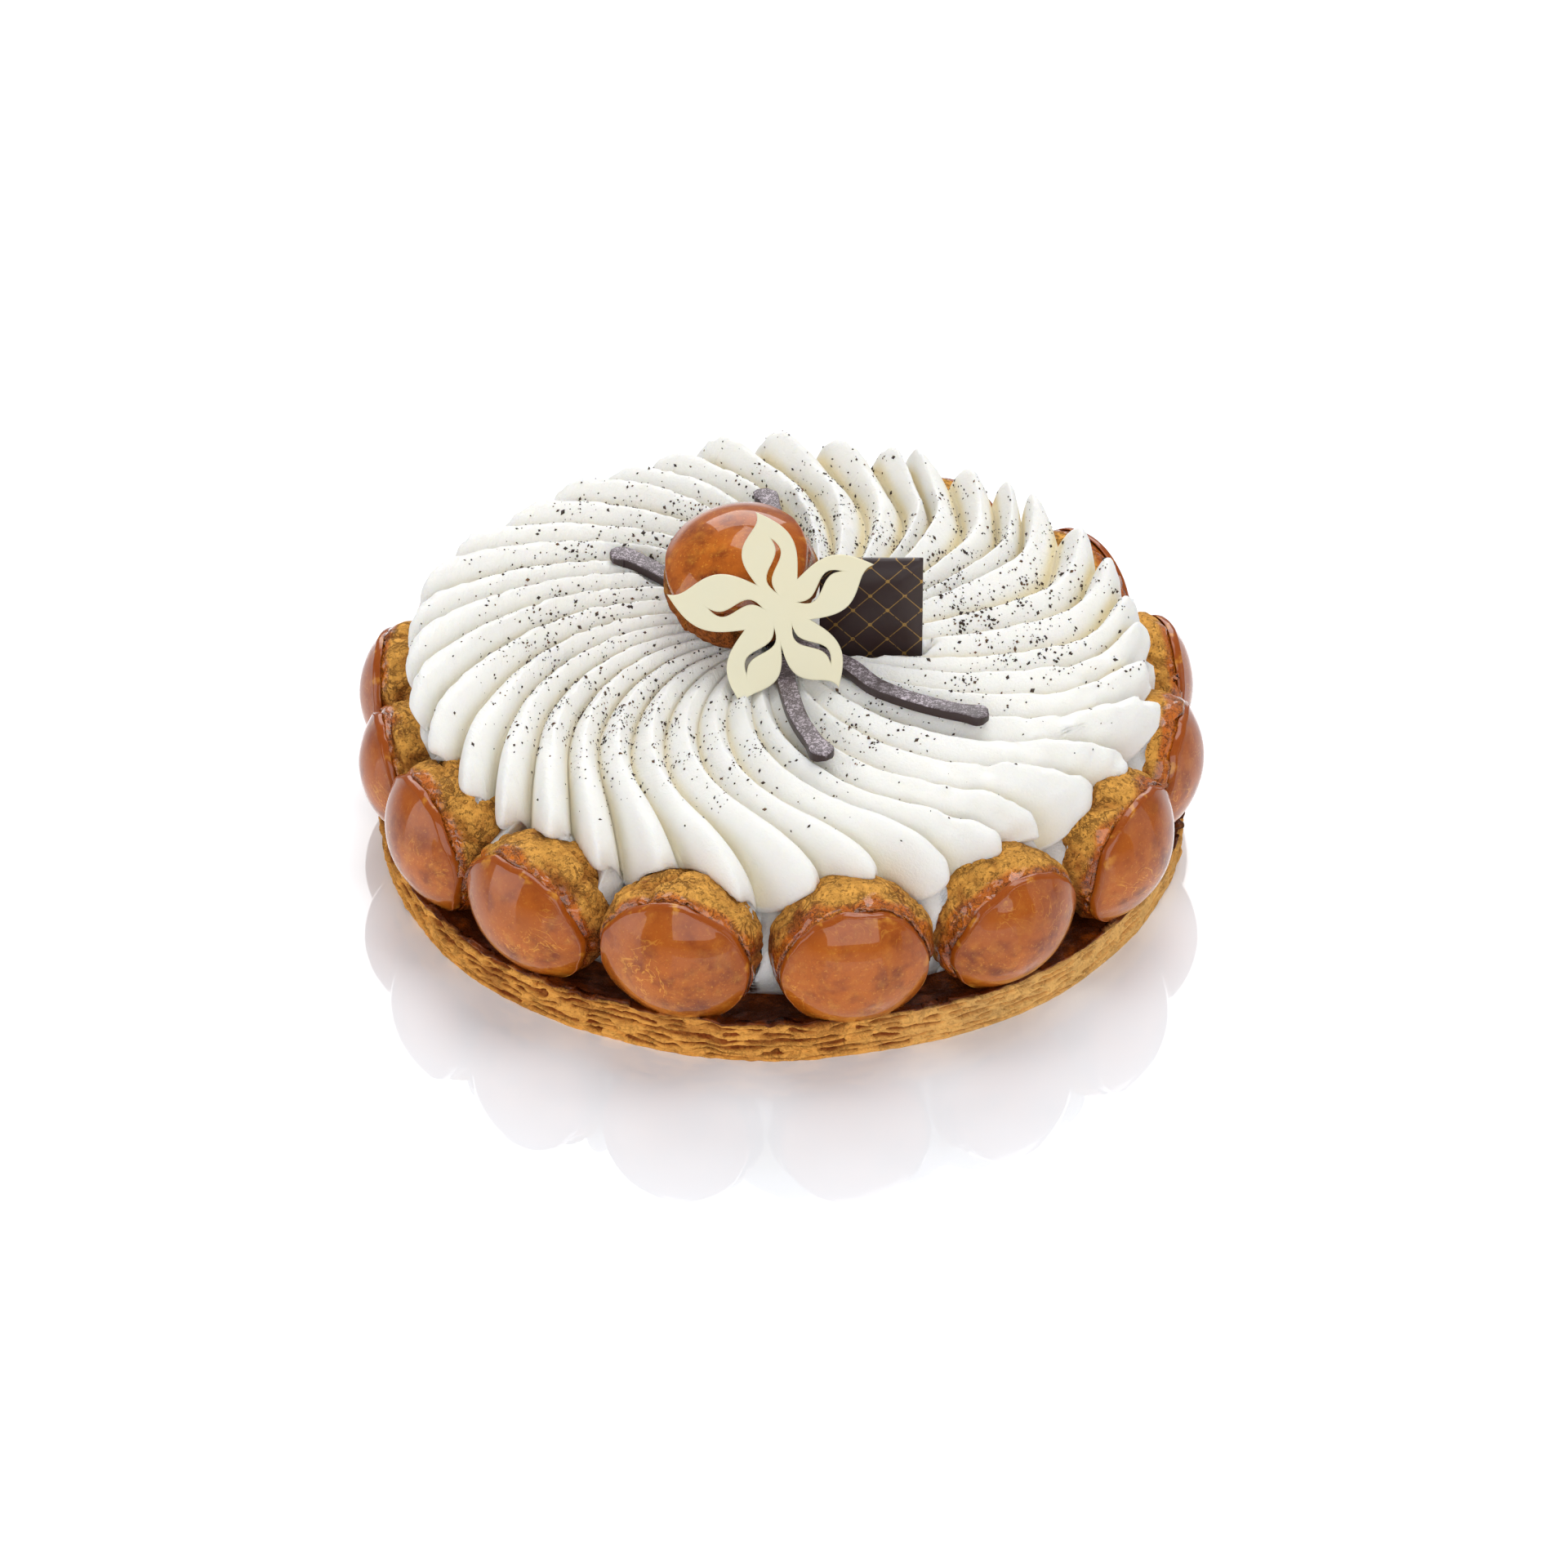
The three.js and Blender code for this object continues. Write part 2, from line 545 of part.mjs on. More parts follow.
let base = toSolid(pastryBase());
for (const room of rooms) base = base.subtract(room);
addPiece('pastry_base', toGeometry(base), PASTRY);

let cream = toSolid(pipedCream());
const sunk = [...rooms, toSolid(chouBody(centre, GAP)), toSolid(pod(0, GAP)),
  toSolid(pod(1, GAP)), toSolid(plaque(GAP)), toSolid(flower(GAP))];
for (const room of sunk) cream = cream.subtract(room);
addPiece('cream_petals', toGeometry(cream), CREAM);

ring.forEach((chou, index) => {
  const number = String(index + 1).padStart(2, '0');
  addPiece(`chou_${number}`, chouBody(chou), CHOUX);
  addPiece(`caramel_${number}`, caramelCap(chou), CARAMEL);
});
addPiece('chou_centre', chouBody(centre), CHOUX);
addPiece('caramel_centre', caramelCap(centre), CARAMEL);

addPiece('pod_left', pod(0), DARK_CHOCOLATE);
addPiece('pod_right', pod(1), DARK_CHOCOLATE);
addPiece('chocolate_plaque', plaque(), DARK_CHOCOLATE);
addPiece('chocolate_flower', flower(), WHITE_CHOCOLATE);

export default cake;
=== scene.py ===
import itertools
import math

import bpy
import numpy as np
from bpy.props import FloatProperty, FloatVectorProperty, IntProperty, PointerProperty
from bpy.types import Operator, Panel, PropertyGroup
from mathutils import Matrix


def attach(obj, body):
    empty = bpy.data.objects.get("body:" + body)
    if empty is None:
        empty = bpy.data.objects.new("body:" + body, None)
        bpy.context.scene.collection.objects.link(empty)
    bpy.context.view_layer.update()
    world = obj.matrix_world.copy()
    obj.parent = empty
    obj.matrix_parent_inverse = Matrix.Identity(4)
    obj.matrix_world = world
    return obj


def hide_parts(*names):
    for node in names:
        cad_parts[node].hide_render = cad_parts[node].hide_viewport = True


bl_info = {
    "name": "Saint-honore cake",
    "version": (1, 0, 0),
    "blender": (4, 5, 0),
    "location": "3D View > Sidebar > Cake",
    "description": "Dresses the solids of a round saint-honore cake in pastry, caramel and cream",
    "category": "Add Mesh",
}

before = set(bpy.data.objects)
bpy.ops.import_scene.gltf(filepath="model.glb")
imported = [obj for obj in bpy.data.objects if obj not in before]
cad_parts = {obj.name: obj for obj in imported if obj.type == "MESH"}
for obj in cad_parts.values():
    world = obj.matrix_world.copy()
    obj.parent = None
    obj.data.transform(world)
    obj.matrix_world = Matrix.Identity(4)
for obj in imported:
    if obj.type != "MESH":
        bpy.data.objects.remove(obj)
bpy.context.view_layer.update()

# Lengths below are in millimetres and angles in degrees, as a baker would give them, with
# the origin at the centre of the cake's underside and the front of the cake towards -Y.
MM = 0.001
GAP = 0.3  # kept between two pieces that touch

BASE_RADIUS = 110
BASE_TOP = 8.5
BASE_BULGE = (225, 1.6)  # azimuth and depth of the disc's fuller front left
RIM = {"lip": 0.6, "rise": 3.4, "azimuth": 255}
PALE_SIDE = 318  # azimuth of the disc's pale, smoother stretch

RING_RADIUS = 101.8
CHOU_CENTRE_Z = 28.7
CHOU_FRONT, CHOU_BACK, CHOU_WIDTH, CHOU_HEIGHT = 15.8, 19.5, 21.5, 21
# Azimuth, size, squeeze by the neighbours, and how far in the chou is pushed.
RING_CHOUX = (
    (230.1, 0.985, 1, 0), (254.5, 1.03, 1, 0), (280.1, 1.013, 1, 0), (304.7, 0.976, 1, 0),
    (329.7, 1, 1, 0), (352.9, 0.974, 0.97, 2.4), (375.4, 0.953, 0.97, 0.7), (399.3, 1.03, 1, 1.2),
    (424.8, 1, 1, 0), (451, 1, 1, 1), (477.5, 1, 1, 3), (509, 0.98, 1, 1.6),
    (528, 0.96, 0.9, -2.2), (547.5, 0.93, 0.9, 0), (566.9, 0.99, 0.97, 0),
)
CAP_TILTS = (12, 10, 9, 12, 8)
CAP_CURVE, CAP_THICKNESS, CAP_RIM = 26, 1.2, 20
CENTRE_CHOU = {"place": (-11.7, 11, 73.2), "radius": 21, "flatness": 0.86, "foot": 62.2}
CENTRE_CAP = (17, 238)  # lean off upright, and its azimuth

CREAM_RADIUS = 99
CREAM_BUMPS = ((166, 62, 4.5), (214, 45, -3.5), (314, 26, 1.0))  # azimuth, spread, reach
CREAM_CORE = 92  # radius of the wall under the petals
CREAM_TOP = 60.5
RAGGED_ENDS = (325, 2.6)  # azimuth and reach of the torn petals at the front right
LUMPY_CREAM = (328, 2.6, 1.7)  # azimuth, height of the wide lumps and of the small ones
PETAL_FLOOR = 3.5  # thickness of a petal's end under its tip
PRESSED_IN = 0.5  # how far the cream is pushed into a chou's smooth form
CREAM_SHOULDER = (135, 2)  # azimuth and rise of the higher crests
FIN_AZIMUTH = 40  # where the petals end as tall thin fins
FIN_PEAK = (5.5, 4.5, 6)  # rise, place and length of the hump near a fin's end
BLUNT_END = (6, 9)  # length and drop
DROOP_AZIMUTH = 262  # where they hang down between the choux
DROOP_END = (15, 10.5, 4)  # length, drop, and extra sag between two choux
SWIRL_RADIUS, SWIRL_STRAIGHT = 80, 35  # where the turn is 0, and azimuth of the straightest
FIRST_CREST = 166.5  # azimuth of the first crest; the widths from crest to crest follow
PETAL_WIDTHS = (
    11, 10, 11.5, 10, 10.5, 9.5, 11, 10.5, 11.5, 10, 11, 8, 9, 10.5, 11, 11, 9, 9.5, 7.8, 12,
    10, 13.5, 5.3, 7.9, 10, 4.5, 8.8, 10.4, 9.4, 8.2, 8.7, 8.6, 9.9, 10.3, 10.1, 10.4,
)
GROOVE_PLACE = 0.34  # where between two crests the groove lies: near the one before it

FLOWER = {"place": (-0.8, -13.6, 79.2), "face": 32, "thickness": 2.2}
# Tip angle and distance, side on which the tip is hooked, angle and distance of the notch.
FLOWER_PETALS = (
    (26.4, 27.9, -1, 62.6, 9.5), (104.4, 27.4, 1, 133.7, 9.6), (171.9, 31, -1, 208, 11.1),
    (248.3, 27.8, 1, 270, 9.4), (306.7, 26, -1, 343, 8.2),
)
PETAL_BULGE, PETAL_HOOK = 4.6, 2.4
SLIT = {"start": 5, "end": 19.5, "half": 0.95, "swing": 1.6, "drift": 2.2}

POD_WIDTH, POD_HEIGHT, POD_REST = 6.3, 3, CREAM_TOP + 2
POD_ROUTES = (
    ((-47, 36.2), (-44.3, 37.9), (-32.4, 29.6), (-14, 14), (5, -2.5), (16.5, -15.2), (25, -25.9),
     (34.5, -32.2), (45, -36.9), (54.8, -39.8)),
    ((-8, 66.6), (-5.4, 67.6), (-3.3, 61), (-2, 40), (-1, 12), (0.3, -10.5), (1, -26),
     (4, -41.4), (9, -54.4), (11.2, -59.2)),
)
POD_DIPS = (-4.6, -9)
POD_DIP_REACH = (16, 34)

PLAQUE = {"x": 23.6, "y": 1, "width": 28, "thickness": 1.5, "bottom": 52, "top": 86.4}


# ---------------------------------------------------------------- what a user would change

def colour(name, description, default):
    return FloatVectorProperty(name=name, description=description, default=default,
                               subtype="COLOR", size=3, min=0, max=1)


def length(name, description, millimetres):
    return FloatProperty(name=name, description=description, default=millimetres * MM,
                         unit="LENGTH", subtype="DISTANCE", min=0, precision=4)


class CakeSizes(PropertyGroup):
    """Sizes that change the looks but leave every piece where its solid is."""
    crest_wobble: length("Crest wobble", "Unevenness of the piped crests", 0.6)
    petal_jitter: length("Petal jitter", "How far one petal ends before or after the next", 1.4)
    lump: length("Choux lumps", "Height of the lumps of the baked choux", 1.25)
    crack: length("Choux cracks", "Depth of the cracks in the choux", 1.9)
    leaf_gap: length("Leaf gaps", "Depth of the gaps between the pastry leaves", 3.2)
    caramel_wave: length("Caramel wave", "Waviness of the set caramel", 0.22)
    leaves: IntProperty(name="Leaves", description="Pastry leaves seen at the side",
                        default=7, min=3, max=20)
    specks: IntProperty(name="Vanilla specks", description="Number of vanilla specks",
                        default=7200, min=0, max=20000)
    seed: IntProperty(name="Seed", description="Start of every repeatable random draw", default=7)


class CakeColours(PropertyGroup):
    """Colours in linear light."""
    cream: colour("Cream", "Whipped cream on the crests", (0.90, 0.895, 0.865))
    # Cream shade is painted shade: the warm yellow laid over the cream in the grooves and on the
    # wall under the petals.
    cream_shade: colour("Cream shade", "Whipped cream deep in the grooves", (0.82, 0.72, 0.47))
    # The crust goes from choux light to choux dark by browning in random patches, by painted shade
    # low on each chou, and by a painted highlight on its raised lumps.
    choux_light: colour("Choux light", "Pale crust of the choux", (0.76, 0.37, 0.070))
    choux_dark: colour("Choux dark", "Browned crust of the choux", (0.30, 0.080, 0.012))
    caramel: colour("Caramel", "Clear amber caramel", (0.42, 0.088, 0.004))
    # Caramel dark is also the painted shade on the upper side of each cap.
    caramel_dark: colour("Caramel dark", "Deep or burnt caramel", (0.17, 0.024, 0.002))
    caramel_gold: colour("Caramel gold", "Thin caramel and its glints", (0.85, 0.40, 0.05))
    pastry_light: colour("Pastry light", "Edges of the pastry leaves", (0.87, 0.41, 0.085))
    # Pastry dark is also the painted shade in the gaps between the leaves.
    pastry_dark: colour("Pastry dark", "Gaps between the leaves", (0.25, 0.056, 0.008))
    pastry_top: colour("Pastry top", "Caramelised top of the pastry", (0.10, 0.019, 0.002))
    dark_chocolate: colour("Dark chocolate", "Pods and plaque", (0.030, 0.014, 0.014))
    dust: colour("Dust", "Silvery dust on the pods", (0.62, 0.54, 0.60))
    gold: colour("Gold", "Printed lines of the plaque", (0.42, 0.25, 0.075))
    white_chocolate: colour("White chocolate", "The flower", (0.76, 0.72, 0.53))
    speck: colour("Vanilla", "Vanilla specks", (0.030, 0.016, 0.010))


# ---------------------------------------------------------------- numbers

def smooth(x, low, high):
    """0 up to low, 1 from high, and the cubic 3t² - 2t³ between."""
    t = np.clip((np.asarray(x, float) - low) / (high - low), 0, 1)
    return t * t * (3 - 2 * t)


def nearness(angle, azimuth, floor, full=1.0):
    """1 at an azimuth and 0 where the cosine of the turn away from it falls to the floor."""
    return smooth(np.cos(angle - np.radians(azimuth)), floor, full)


def mix(a, b, t):
    return a + (b - a) * t


def polar(degrees, radius, z=0.0):
    a = math.radians(degrees)
    return np.array([radius * math.cos(a), radius * math.sin(a), z])


def hashed(ix, iy, iz, seed):
    """A repeatable number from 0 to 1 for each whole-number corner, by mixing its bits."""
    n = (ix * 73856093) ^ (iy * 19349663) ^ (iz * 83492791) ^ (seed * 40503 + 1013)
    for shift, factor in ((13, 1274126177), (16, 2246822519), (15, 668265263)):
        n = ((n ^ ((n & 0xFFFFFFFF) >> shift)) * factor) & 0xFFFFFFFF
    return (n ^ (n >> 16)) / 0xFFFFFFFF


def noise(points, scale, seed=0):
    """A smooth field between -1 and 1: corner values `scale` apart, blended by cubic fades."""
    p = np.asarray(points, float) / scale
    base = np.floor(p).astype(np.int64)
    t = p - base
    t = t * t * (3 - 2 * t)
    total = np.zeros(p.shape[:-1])
    for corner in itertools.product((0, 1), repeat=3):
        weight = np.prod([t[..., k] if on else 1 - t[..., k]
                          for k, on in enumerate(corner)], axis=0)
        total += weight * hashed(*(base[..., k] + corner[k] for k in range(3)), seed)
    return total * 2 - 1


def crags(points, scale, seed):
    """Noise plus a finer copy of itself at half the size and half the height."""
    return (noise(points, scale, seed) + noise(points, scale / 2, seed + 1) / 2) / 1.5


def cell_border(points, scale, seed=0):
    """0 on the border between two random cells, rising inwards: the distance to the second
    nearest cell centre less the distance to the nearest."""
    p = np.asarray(points, float) / scale
    base = np.floor(p).astype(np.int64)
    nearest = np.full(p.shape[:-1], 9.0)
    second = nearest.copy()
    for offset in itertools.product((-1, 0, 1), repeat=3):
        corner = [base[..., k] + offset[k] for k in range(3)]
        centre = [corner[k] + hashed(*corner, seed + 11 * k) for k in range(3)]
        away = np.sqrt(sum((centre[k] - p[..., k]) ** 2 for k in range(3)))
        second = np.minimum(second, np.maximum(nearest, away))
        nearest = np.minimum(nearest, away)
    return second - nearest


def along_route(points, steps):
    """Places and directions at even distances along a smooth curve through points. Each
    stretch is a cubic whose end slopes come from its neighbours, with knots spaced by the
    square root of their distances."""
    p = np.asarray(points, float)
    p = np.vstack([2 * p[0] - p[1], p, 2 * p[-1] - p[-2]])
    t = np.linspace(0, 1, 40, endpoint=False)[:, None]
    dense = []
    for a, b, c, d in zip(p, p[1:], p[2:], p[3:]):
        k0, k1, k2 = (max(np.linalg.norm(v) ** 0.5, 1e-4) for v in (b - a, c - b, d - c))
        slope0 = ((b - a) / k0 - (c - a) / (k0 + k1) + (c - b) / k1) * k1
        slope1 = ((c - b) / k1 - (d - b) / (k1 + k2) + (d - c) / k2) * k1
        dense.append(b + slope0 * t + (3 * (c - b) - 2 * slope0 - slope1) * t ** 2
                     + (2 * (b - c) + slope0 + slope1) * t ** 3)
    dense = np.vstack(dense + [p[-2:-1]])
    travelled = np.concatenate([[0], np.cumsum(np.linalg.norm(np.diff(dense, axis=0), axis=1))])
    even = np.linspace(0, travelled[-1], steps)
    place = np.stack([np.interp(even, travelled, dense[:, k]) for k in range(3)], axis=1)
    ahead = np.gradient(place, axis=0)
    return place, ahead / np.linalg.norm(ahead, axis=1, keepdims=True), even


# ---------------------------------------------------------------- meshes

def tube_faces(rings, count):
    """Quads between neighbouring rings of `count` points each, and the two fans that shut
    the ends at the two points after the last ring."""
    row = np.arange(rings - 1)[:, None] * count
    i = np.arange(count)
    j = (i + 1) % count
    quads = np.stack([row + i, row + j, row + count + j, row + count + i], axis=-1).reshape(-1, 4)
    start, end, last = rings * count, rings * count + 1, (rings - 1) * count
    fans = np.vstack([np.stack([np.full(count, start), j, i], axis=1),
                      np.stack([np.full(count, end), last + i, last + j], axis=1)])
    return quads, fans


def outward(points, quads, fans):
    """The faces turned round if the volume they close is negative: the sum over all
    triangles of the triple product of their corners."""
    triangles = np.vstack([quads[:, [0, 1, 2]], quads[:, [0, 2, 3]], fans])
    a, b, c = (points[triangles[:, k]] for k in range(3))
    if np.einsum("ij,ij->i", a, np.cross(b, c)).sum() >= 0:
        return quads, fans
    return quads[:, ::-1], fans[:, ::-1]


def make_piece(name, points, quads, fans, marks=None, sharp=False):
    """A mesh object from points in millimetres, with a named number at every point."""
    mesh = bpy.data.meshes.new(name)
    mesh.from_pydata((points * MM).tolist(), [], quads.tolist() + fans.tolist())
    for mark, values in (marks or {}).items():
        attribute = mesh.attributes.new(mark, "FLOAT", "POINT")
        attribute.data.foreach_set("value", np.ascontiguousarray(values, np.float32))
    if not sharp:
        mesh.shade_smooth()
    mesh.validate()
    piece = bpy.data.objects.new(name, mesh)
    bpy.context.scene.collection.objects.link(piece)
    return piece


def closed_piece(name, rings, marks, start=None, end=None):
    """A closed surface through a (rings, points, 3) grid with a pole at each end, which is
    the middle of the ring there if it isn't given. Each mark is a grid of numbers, whose
    first and last rings are averaged for the poles."""
    start = rings[0].mean(axis=0) if start is None else start
    end = rings[-1].mean(axis=0) if end is None else end
    points = np.vstack([rings.reshape(-1, 3), start, end])
    quads, fans = tube_faces(*rings.shape[:2])
    quads, fans = outward(points, quads, fans)
    flat = {mark: np.concatenate([grid.ravel(), [grid[0].mean(), grid[-1].mean()]])
            for mark, grid in marks.items()}
    return make_piece(name, points, quads, fans, flat)


def finish_piece(piece, material, slot, *nodes):
    piece.data.materials.append(material)
    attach(piece, "root")
    if nodes:
        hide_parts(*nodes)
    return piece


# ---------------------------------------------------------------- shader nodes

def node(tree, kind, inputs=None, **settings):
    """Adds a node. An input is another node's socket, or a plain value."""
    made = tree.nodes.new(kind)
    for key, value in settings.items():
        setattr(made, key, value)
    for key, value in (inputs or {}).items():
        if isinstance(value, bpy.types.NodeSocket):
            tree.links.new(value, made.inputs[key])
        else:
            made.inputs[key].default_value = value
    return made


def maths(tree, operation, *values):
    return node(tree, "ShaderNodeMath", dict(enumerate(values)), operation=operation).outputs[0]


def times(tree, a, b):
    return maths(tree, "MULTIPLY", a, b)


def blend(tree, factor, a, b, how="MIX"):
    """One colour laid over another by a factor."""
    made = node(tree, "ShaderNodeMix", {"Factor": factor, 6: paint(a), 7: paint(b)},
                data_type="RGBA", blend_type=how)
    return made.outputs[2]


def paint(value):
    if isinstance(value, bpy.types.NodeSocket):
        return value
    return (*tuple(value)[:3], 1.0)


def grain(tree, vector, scale, detail=3.0, roughness=0.5, distortion=0.0):
    """Noise between 0 and 1, with `scale` waves to the metre, on Object coordinates."""
    return node(tree, "ShaderNodeTexNoise", {
        "Vector": vector, "Scale": scale, "Detail": detail, "Roughness": roughness,
        "Distortion": distortion}).outputs["Fac"]


def winding_lines(tree, noise_field, fades_at, full_at):
    """Thin winding lines where a noise passes through its middle value."""
    away = maths(tree, "ABSOLUTE", maths(tree, "SUBTRACT", noise_field, 0.5))
    return between(tree, away, fades_at, full_at)


def between(tree, value, low, high):
    """A number stretched from low..high to 0..1 with soft ends."""
    return node(tree, "ShaderNodeMapRange", {"Value": value, "From Min": low, "From Max": high},
                interpolation_type="SMOOTHSTEP").outputs[0]


def place(tree):
    return node(tree, "ShaderNodeTexCoord").outputs["Object"]


def mark(tree, name):
    return node(tree, "ShaderNodeAttribute", attribute_name=name).outputs["Fac"]


def bump(tree, height, strength, distance):
    return node(tree, "ShaderNodeBump", {"Height": height, "Strength": strength,
                                         "Distance": distance}).outputs[0]


def new_material(name, build, **constants):
    """A material whose function links what changes over the surface, and whose constants sit
    on the shader's own sockets."""
    material = bpy.data.materials.new(name)
    material.use_nodes = True
    tree = material.node_tree
    tree.nodes.clear()
    links = build(tree)
    shader = node(tree, "ShaderNodeBsdfPrincipled", {**constants, **links})
    node(tree, "ShaderNodeOutputMaterial", {"Surface": shader.outputs[0]})
    return material


def group_of(name, inputs, outputs, build):
    """A node group, made once: build gets its tree and its input sockets by name, and
    returns its output sockets by name."""
    if name in bpy.data.node_groups:
        return bpy.data.node_groups[name]
    tree = bpy.data.node_groups.new(name, "ShaderNodeTree")
    for title, kind, default in inputs:
        socket = tree.interface.new_socket(title, in_out="INPUT", socket_type=kind)
        if default is not None:
            socket.default_value = default
    for title, kind in outputs:
        tree.interface.new_socket(title, in_out="OUTPUT", socket_type=kind)
    entry = tree.nodes.new("NodeGroupInput")
    results = build(tree, {s.name: s for s in entry.outputs if s.name})
    node(tree, "NodeGroupOutput", results)
    return tree


def use_group(tree, group, **inputs):
    made = node(tree, "ShaderNodeGroup", node_tree=group)
    for key, value in inputs.items():
        socket = made.inputs[key]
        if isinstance(value, bpy.types.NodeSocket):
            tree.links.new(value, socket)
        else:
            socket.default_value = paint(value) if socket.type == "RGBA" else value
    return made.outputs


def baked_crust():
    """Browning in soft patches, with pits and a net of fine winding creases: a colour and a
    height."""
    def build(tree, given):
        where = given["Vector"]
        patches = grain(tree, where, given["Patches"], 5, 0.6)
        fine = grain(tree, where, given["Pores"], 4, 0.7)
        darkening = maths(tree, "ADD", patches, given["Browning"])
        tone = blend(tree, between(tree, darkening, 0.42, 0.66), given["Light"], given["Dark"])
        mottled = between(tree, grain(tree, where, 420, 4, 0.6), 0.40, 0.70)
        tone = blend(tree, times(tree, mottled, 0.14), tone, given["Dark"])
        pits = between(tree, fine, 0.56, 0.66)
        net = winding_lines(tree, grain(tree, where, given["Creases"], 5, 0.62, 0.5), 0.030, 0.0)
        creases = times(tree, net, between(tree, grain(tree, where, 95, 2), 0.42, 0.58))
        flaws = maths(tree, "MAXIMUM", times(tree, pits, 0.7), creases)
        tone = blend(tree, times(tree, flaws, 0.5), tone, given["Dark"])
        height = maths(tree, "MULTIPLY_ADD", patches, 0.8, times(tree, mottled, 0.6))
        height = maths(tree, "SUBTRACT", height, times(tree, flaws, 0.8))
        return {"Colour": tone, "Height": height}
    return group_of("Baked crust", (
        ("Vector", "NodeSocketVector", None), ("Light", "NodeSocketColor", None),
        ("Dark", "NodeSocketColor", None), ("Patches", "NodeSocketFloat", 120.0),
        ("Pores", "NodeSocketFloat", 900.0), ("Creases", "NodeSocketFloat", 200.0),
        ("Browning", "NodeSocketFloat", 0.0),
    ), (("Colour", "NodeSocketColor"), ("Height", "NodeSocketFloat")), build)


def set_sugar():
    """Clear caramel over a browned crust: soft amber clouds, lighter gold patches, thin gold
    strings where the sugar folded, and fine gold flecks."""
    def build(tree, given):
        where = given["Vector"]
        clouds = grain(tree, where, 75, 3, 0.5)
        clouded = times(tree, between(tree, clouds, 0.42, 0.70), 0.75)
        tone = blend(tree, clouded, given["Amber"], given["Dark"])
        light = between(tree, grain(tree, where, 190, 5, 0.65), 0.48, 0.72)
        tone = blend(tree, times(tree, light, 0.35), tone, given["Gold"])
        swirl = winding_lines(tree, grain(tree, where, 110, 3, 0.5, 1.6), 0.018, 0.003)
        strings = times(tree, swirl, between(tree, grain(tree, where, 60, 1), 0.50, 0.58))
        flecks = between(tree, grain(tree, where, 1300, 2, 0.6), 0.60, 0.70)
        bright = maths(tree, "MAXIMUM", times(tree, strings, 0.8),
                       times(tree, flecks, 0.5))
        return {"Colour": blend(tree, bright, tone, given["Gold"]), "Height": clouds}
    return group_of("Set sugar", (
        ("Vector", "NodeSocketVector", None), ("Amber", "NodeSocketColor", None),
        ("Dark", "NodeSocketColor", None), ("Gold", "NodeSocketColor", None),
    ), (("Colour", "NodeSocketColor"), ("Height", "NodeSocketFloat")), build)


# ---------------------------------------------------------------- choux and caramel

class Chou:
    """Where one chou stands: its centre, the axis its cap looks along, and its half sizes."""

    def __init__(self, number, centre, axis, side, front, back, width, height, size, squeeze,
                 foot, walls):
        self.number, self.centre, self.axis, self.side = number, centre, axis, side
        self.up = np.cross(axis, side)
        self.front, self.back, self.width, self.height = front, back, width, height
        self.size, self.squeeze, self.foot, self.walls = size, squeeze, foot, walls

    def point(self, along, across, upward):
        """Points from offsets along the chou's own three axes."""
        return (self.centre + along[..., None] * self.axis + across[..., None] * self.side
                + upward[..., None] * self.up)

    def offsets(self, points):
        """The offsets of points along the chou's own three axes."""
        away = points - self.centre
        return away @ self.axis, away @ self.side, away @ self.up

    def held(self, points, clearance=0.0):
        """Points kept above the foot and on this side of the planes beside the neighbours."""
        points = points.copy()
        for wall in self.walls:
            over = points @ wall - GAP / 2 - clearance
            points -= np.minimum(over, 0)[..., None] * wall
        points[..., 2] = np.maximum(points[..., 2], self.foot)
        return points

    def dome(self, radius, inset):
        """Height of the caramel dome along the axis: the chou's front less a sphere's sag."""
        curve = CAP_CURVE * self.size
        return self.front - curve + np.sqrt((curve - inset) ** 2 - radius ** 2)

    def rim(self, angle):
        """Radius of the caramel's edge: a circle with slow waves and a few bays."""
        turns = np.stack([np.cos(angle) * 2, np.sin(angle) * 2,
                          np.full_like(angle, self.number * 3.7)], axis=-1)
        wave = 0.028 * noise(turns, 1.0, 40) + 0.014 * noise(turns * 2.7, 1.0, 41)
        return CAP_RIM * self.size * (0.99 + wave)


def ring_chou(index):
    azimuth, size, squeeze, inset = RING_CHOUX[index]
    tilt = math.radians(CAP_TILTS[index % len(CAP_TILTS)])
    axis = polar(azimuth, math.cos(tilt), -math.sin(tilt))
    centre = polar(azimuth, RING_RADIUS - inset, CHOU_CENTRE_Z + (size - 1) * CHOU_HEIGHT)
    return Chou(index + 1, centre, axis, polar(azimuth + 90, 1), CHOU_FRONT * size,
                CHOU_BACK * size, CHOU_WIDTH * size * squeeze, CHOU_HEIGHT * size, size, squeeze,
                BASE_TOP + GAP, walls_beside(index))


def walls_beside(index):
    """Unit vectors across the upright planes that part a chou from its two neighbours."""
    azimuth, size, squeeze, _ = RING_CHOUX[index]
    walls = []
    for step in (-1, 1):
        there = RING_CHOUX[(index + step) % len(RING_CHOUX)]
        turn = math.fmod(there[0] - azimuth, 360)
        if math.copysign(1, turn) != step:
            turn += step * 360
        share = size * squeeze / (size * squeeze + there[1] * there[2])
        walls.append(polar(azimuth + turn * share - step * 90, 1))
    return walls


def centre_chou():
    lean, azimuth = math.radians(CENTRE_CAP[0]), CENTRE_CAP[1]
    radius = CENTRE_CHOU["radius"]
    half = radius * CENTRE_CHOU["flatness"]
    return Chou(16, np.array(CENTRE_CHOU["place"], float),
                polar(azimuth, math.sin(lean), math.cos(lean)), polar(azimuth + 90, 1),
                half, half, radius, radius, 1.0, 1.0, CENTRE_CHOU["foot"], [])


CHOUX = [ring_chou(index) for index in range(len(RING_CHOUX))]
CENTRE = centre_chou()


def chou_name(chou):
    return "centre" if chou is CENTRE else f"{chou.number:02d}"


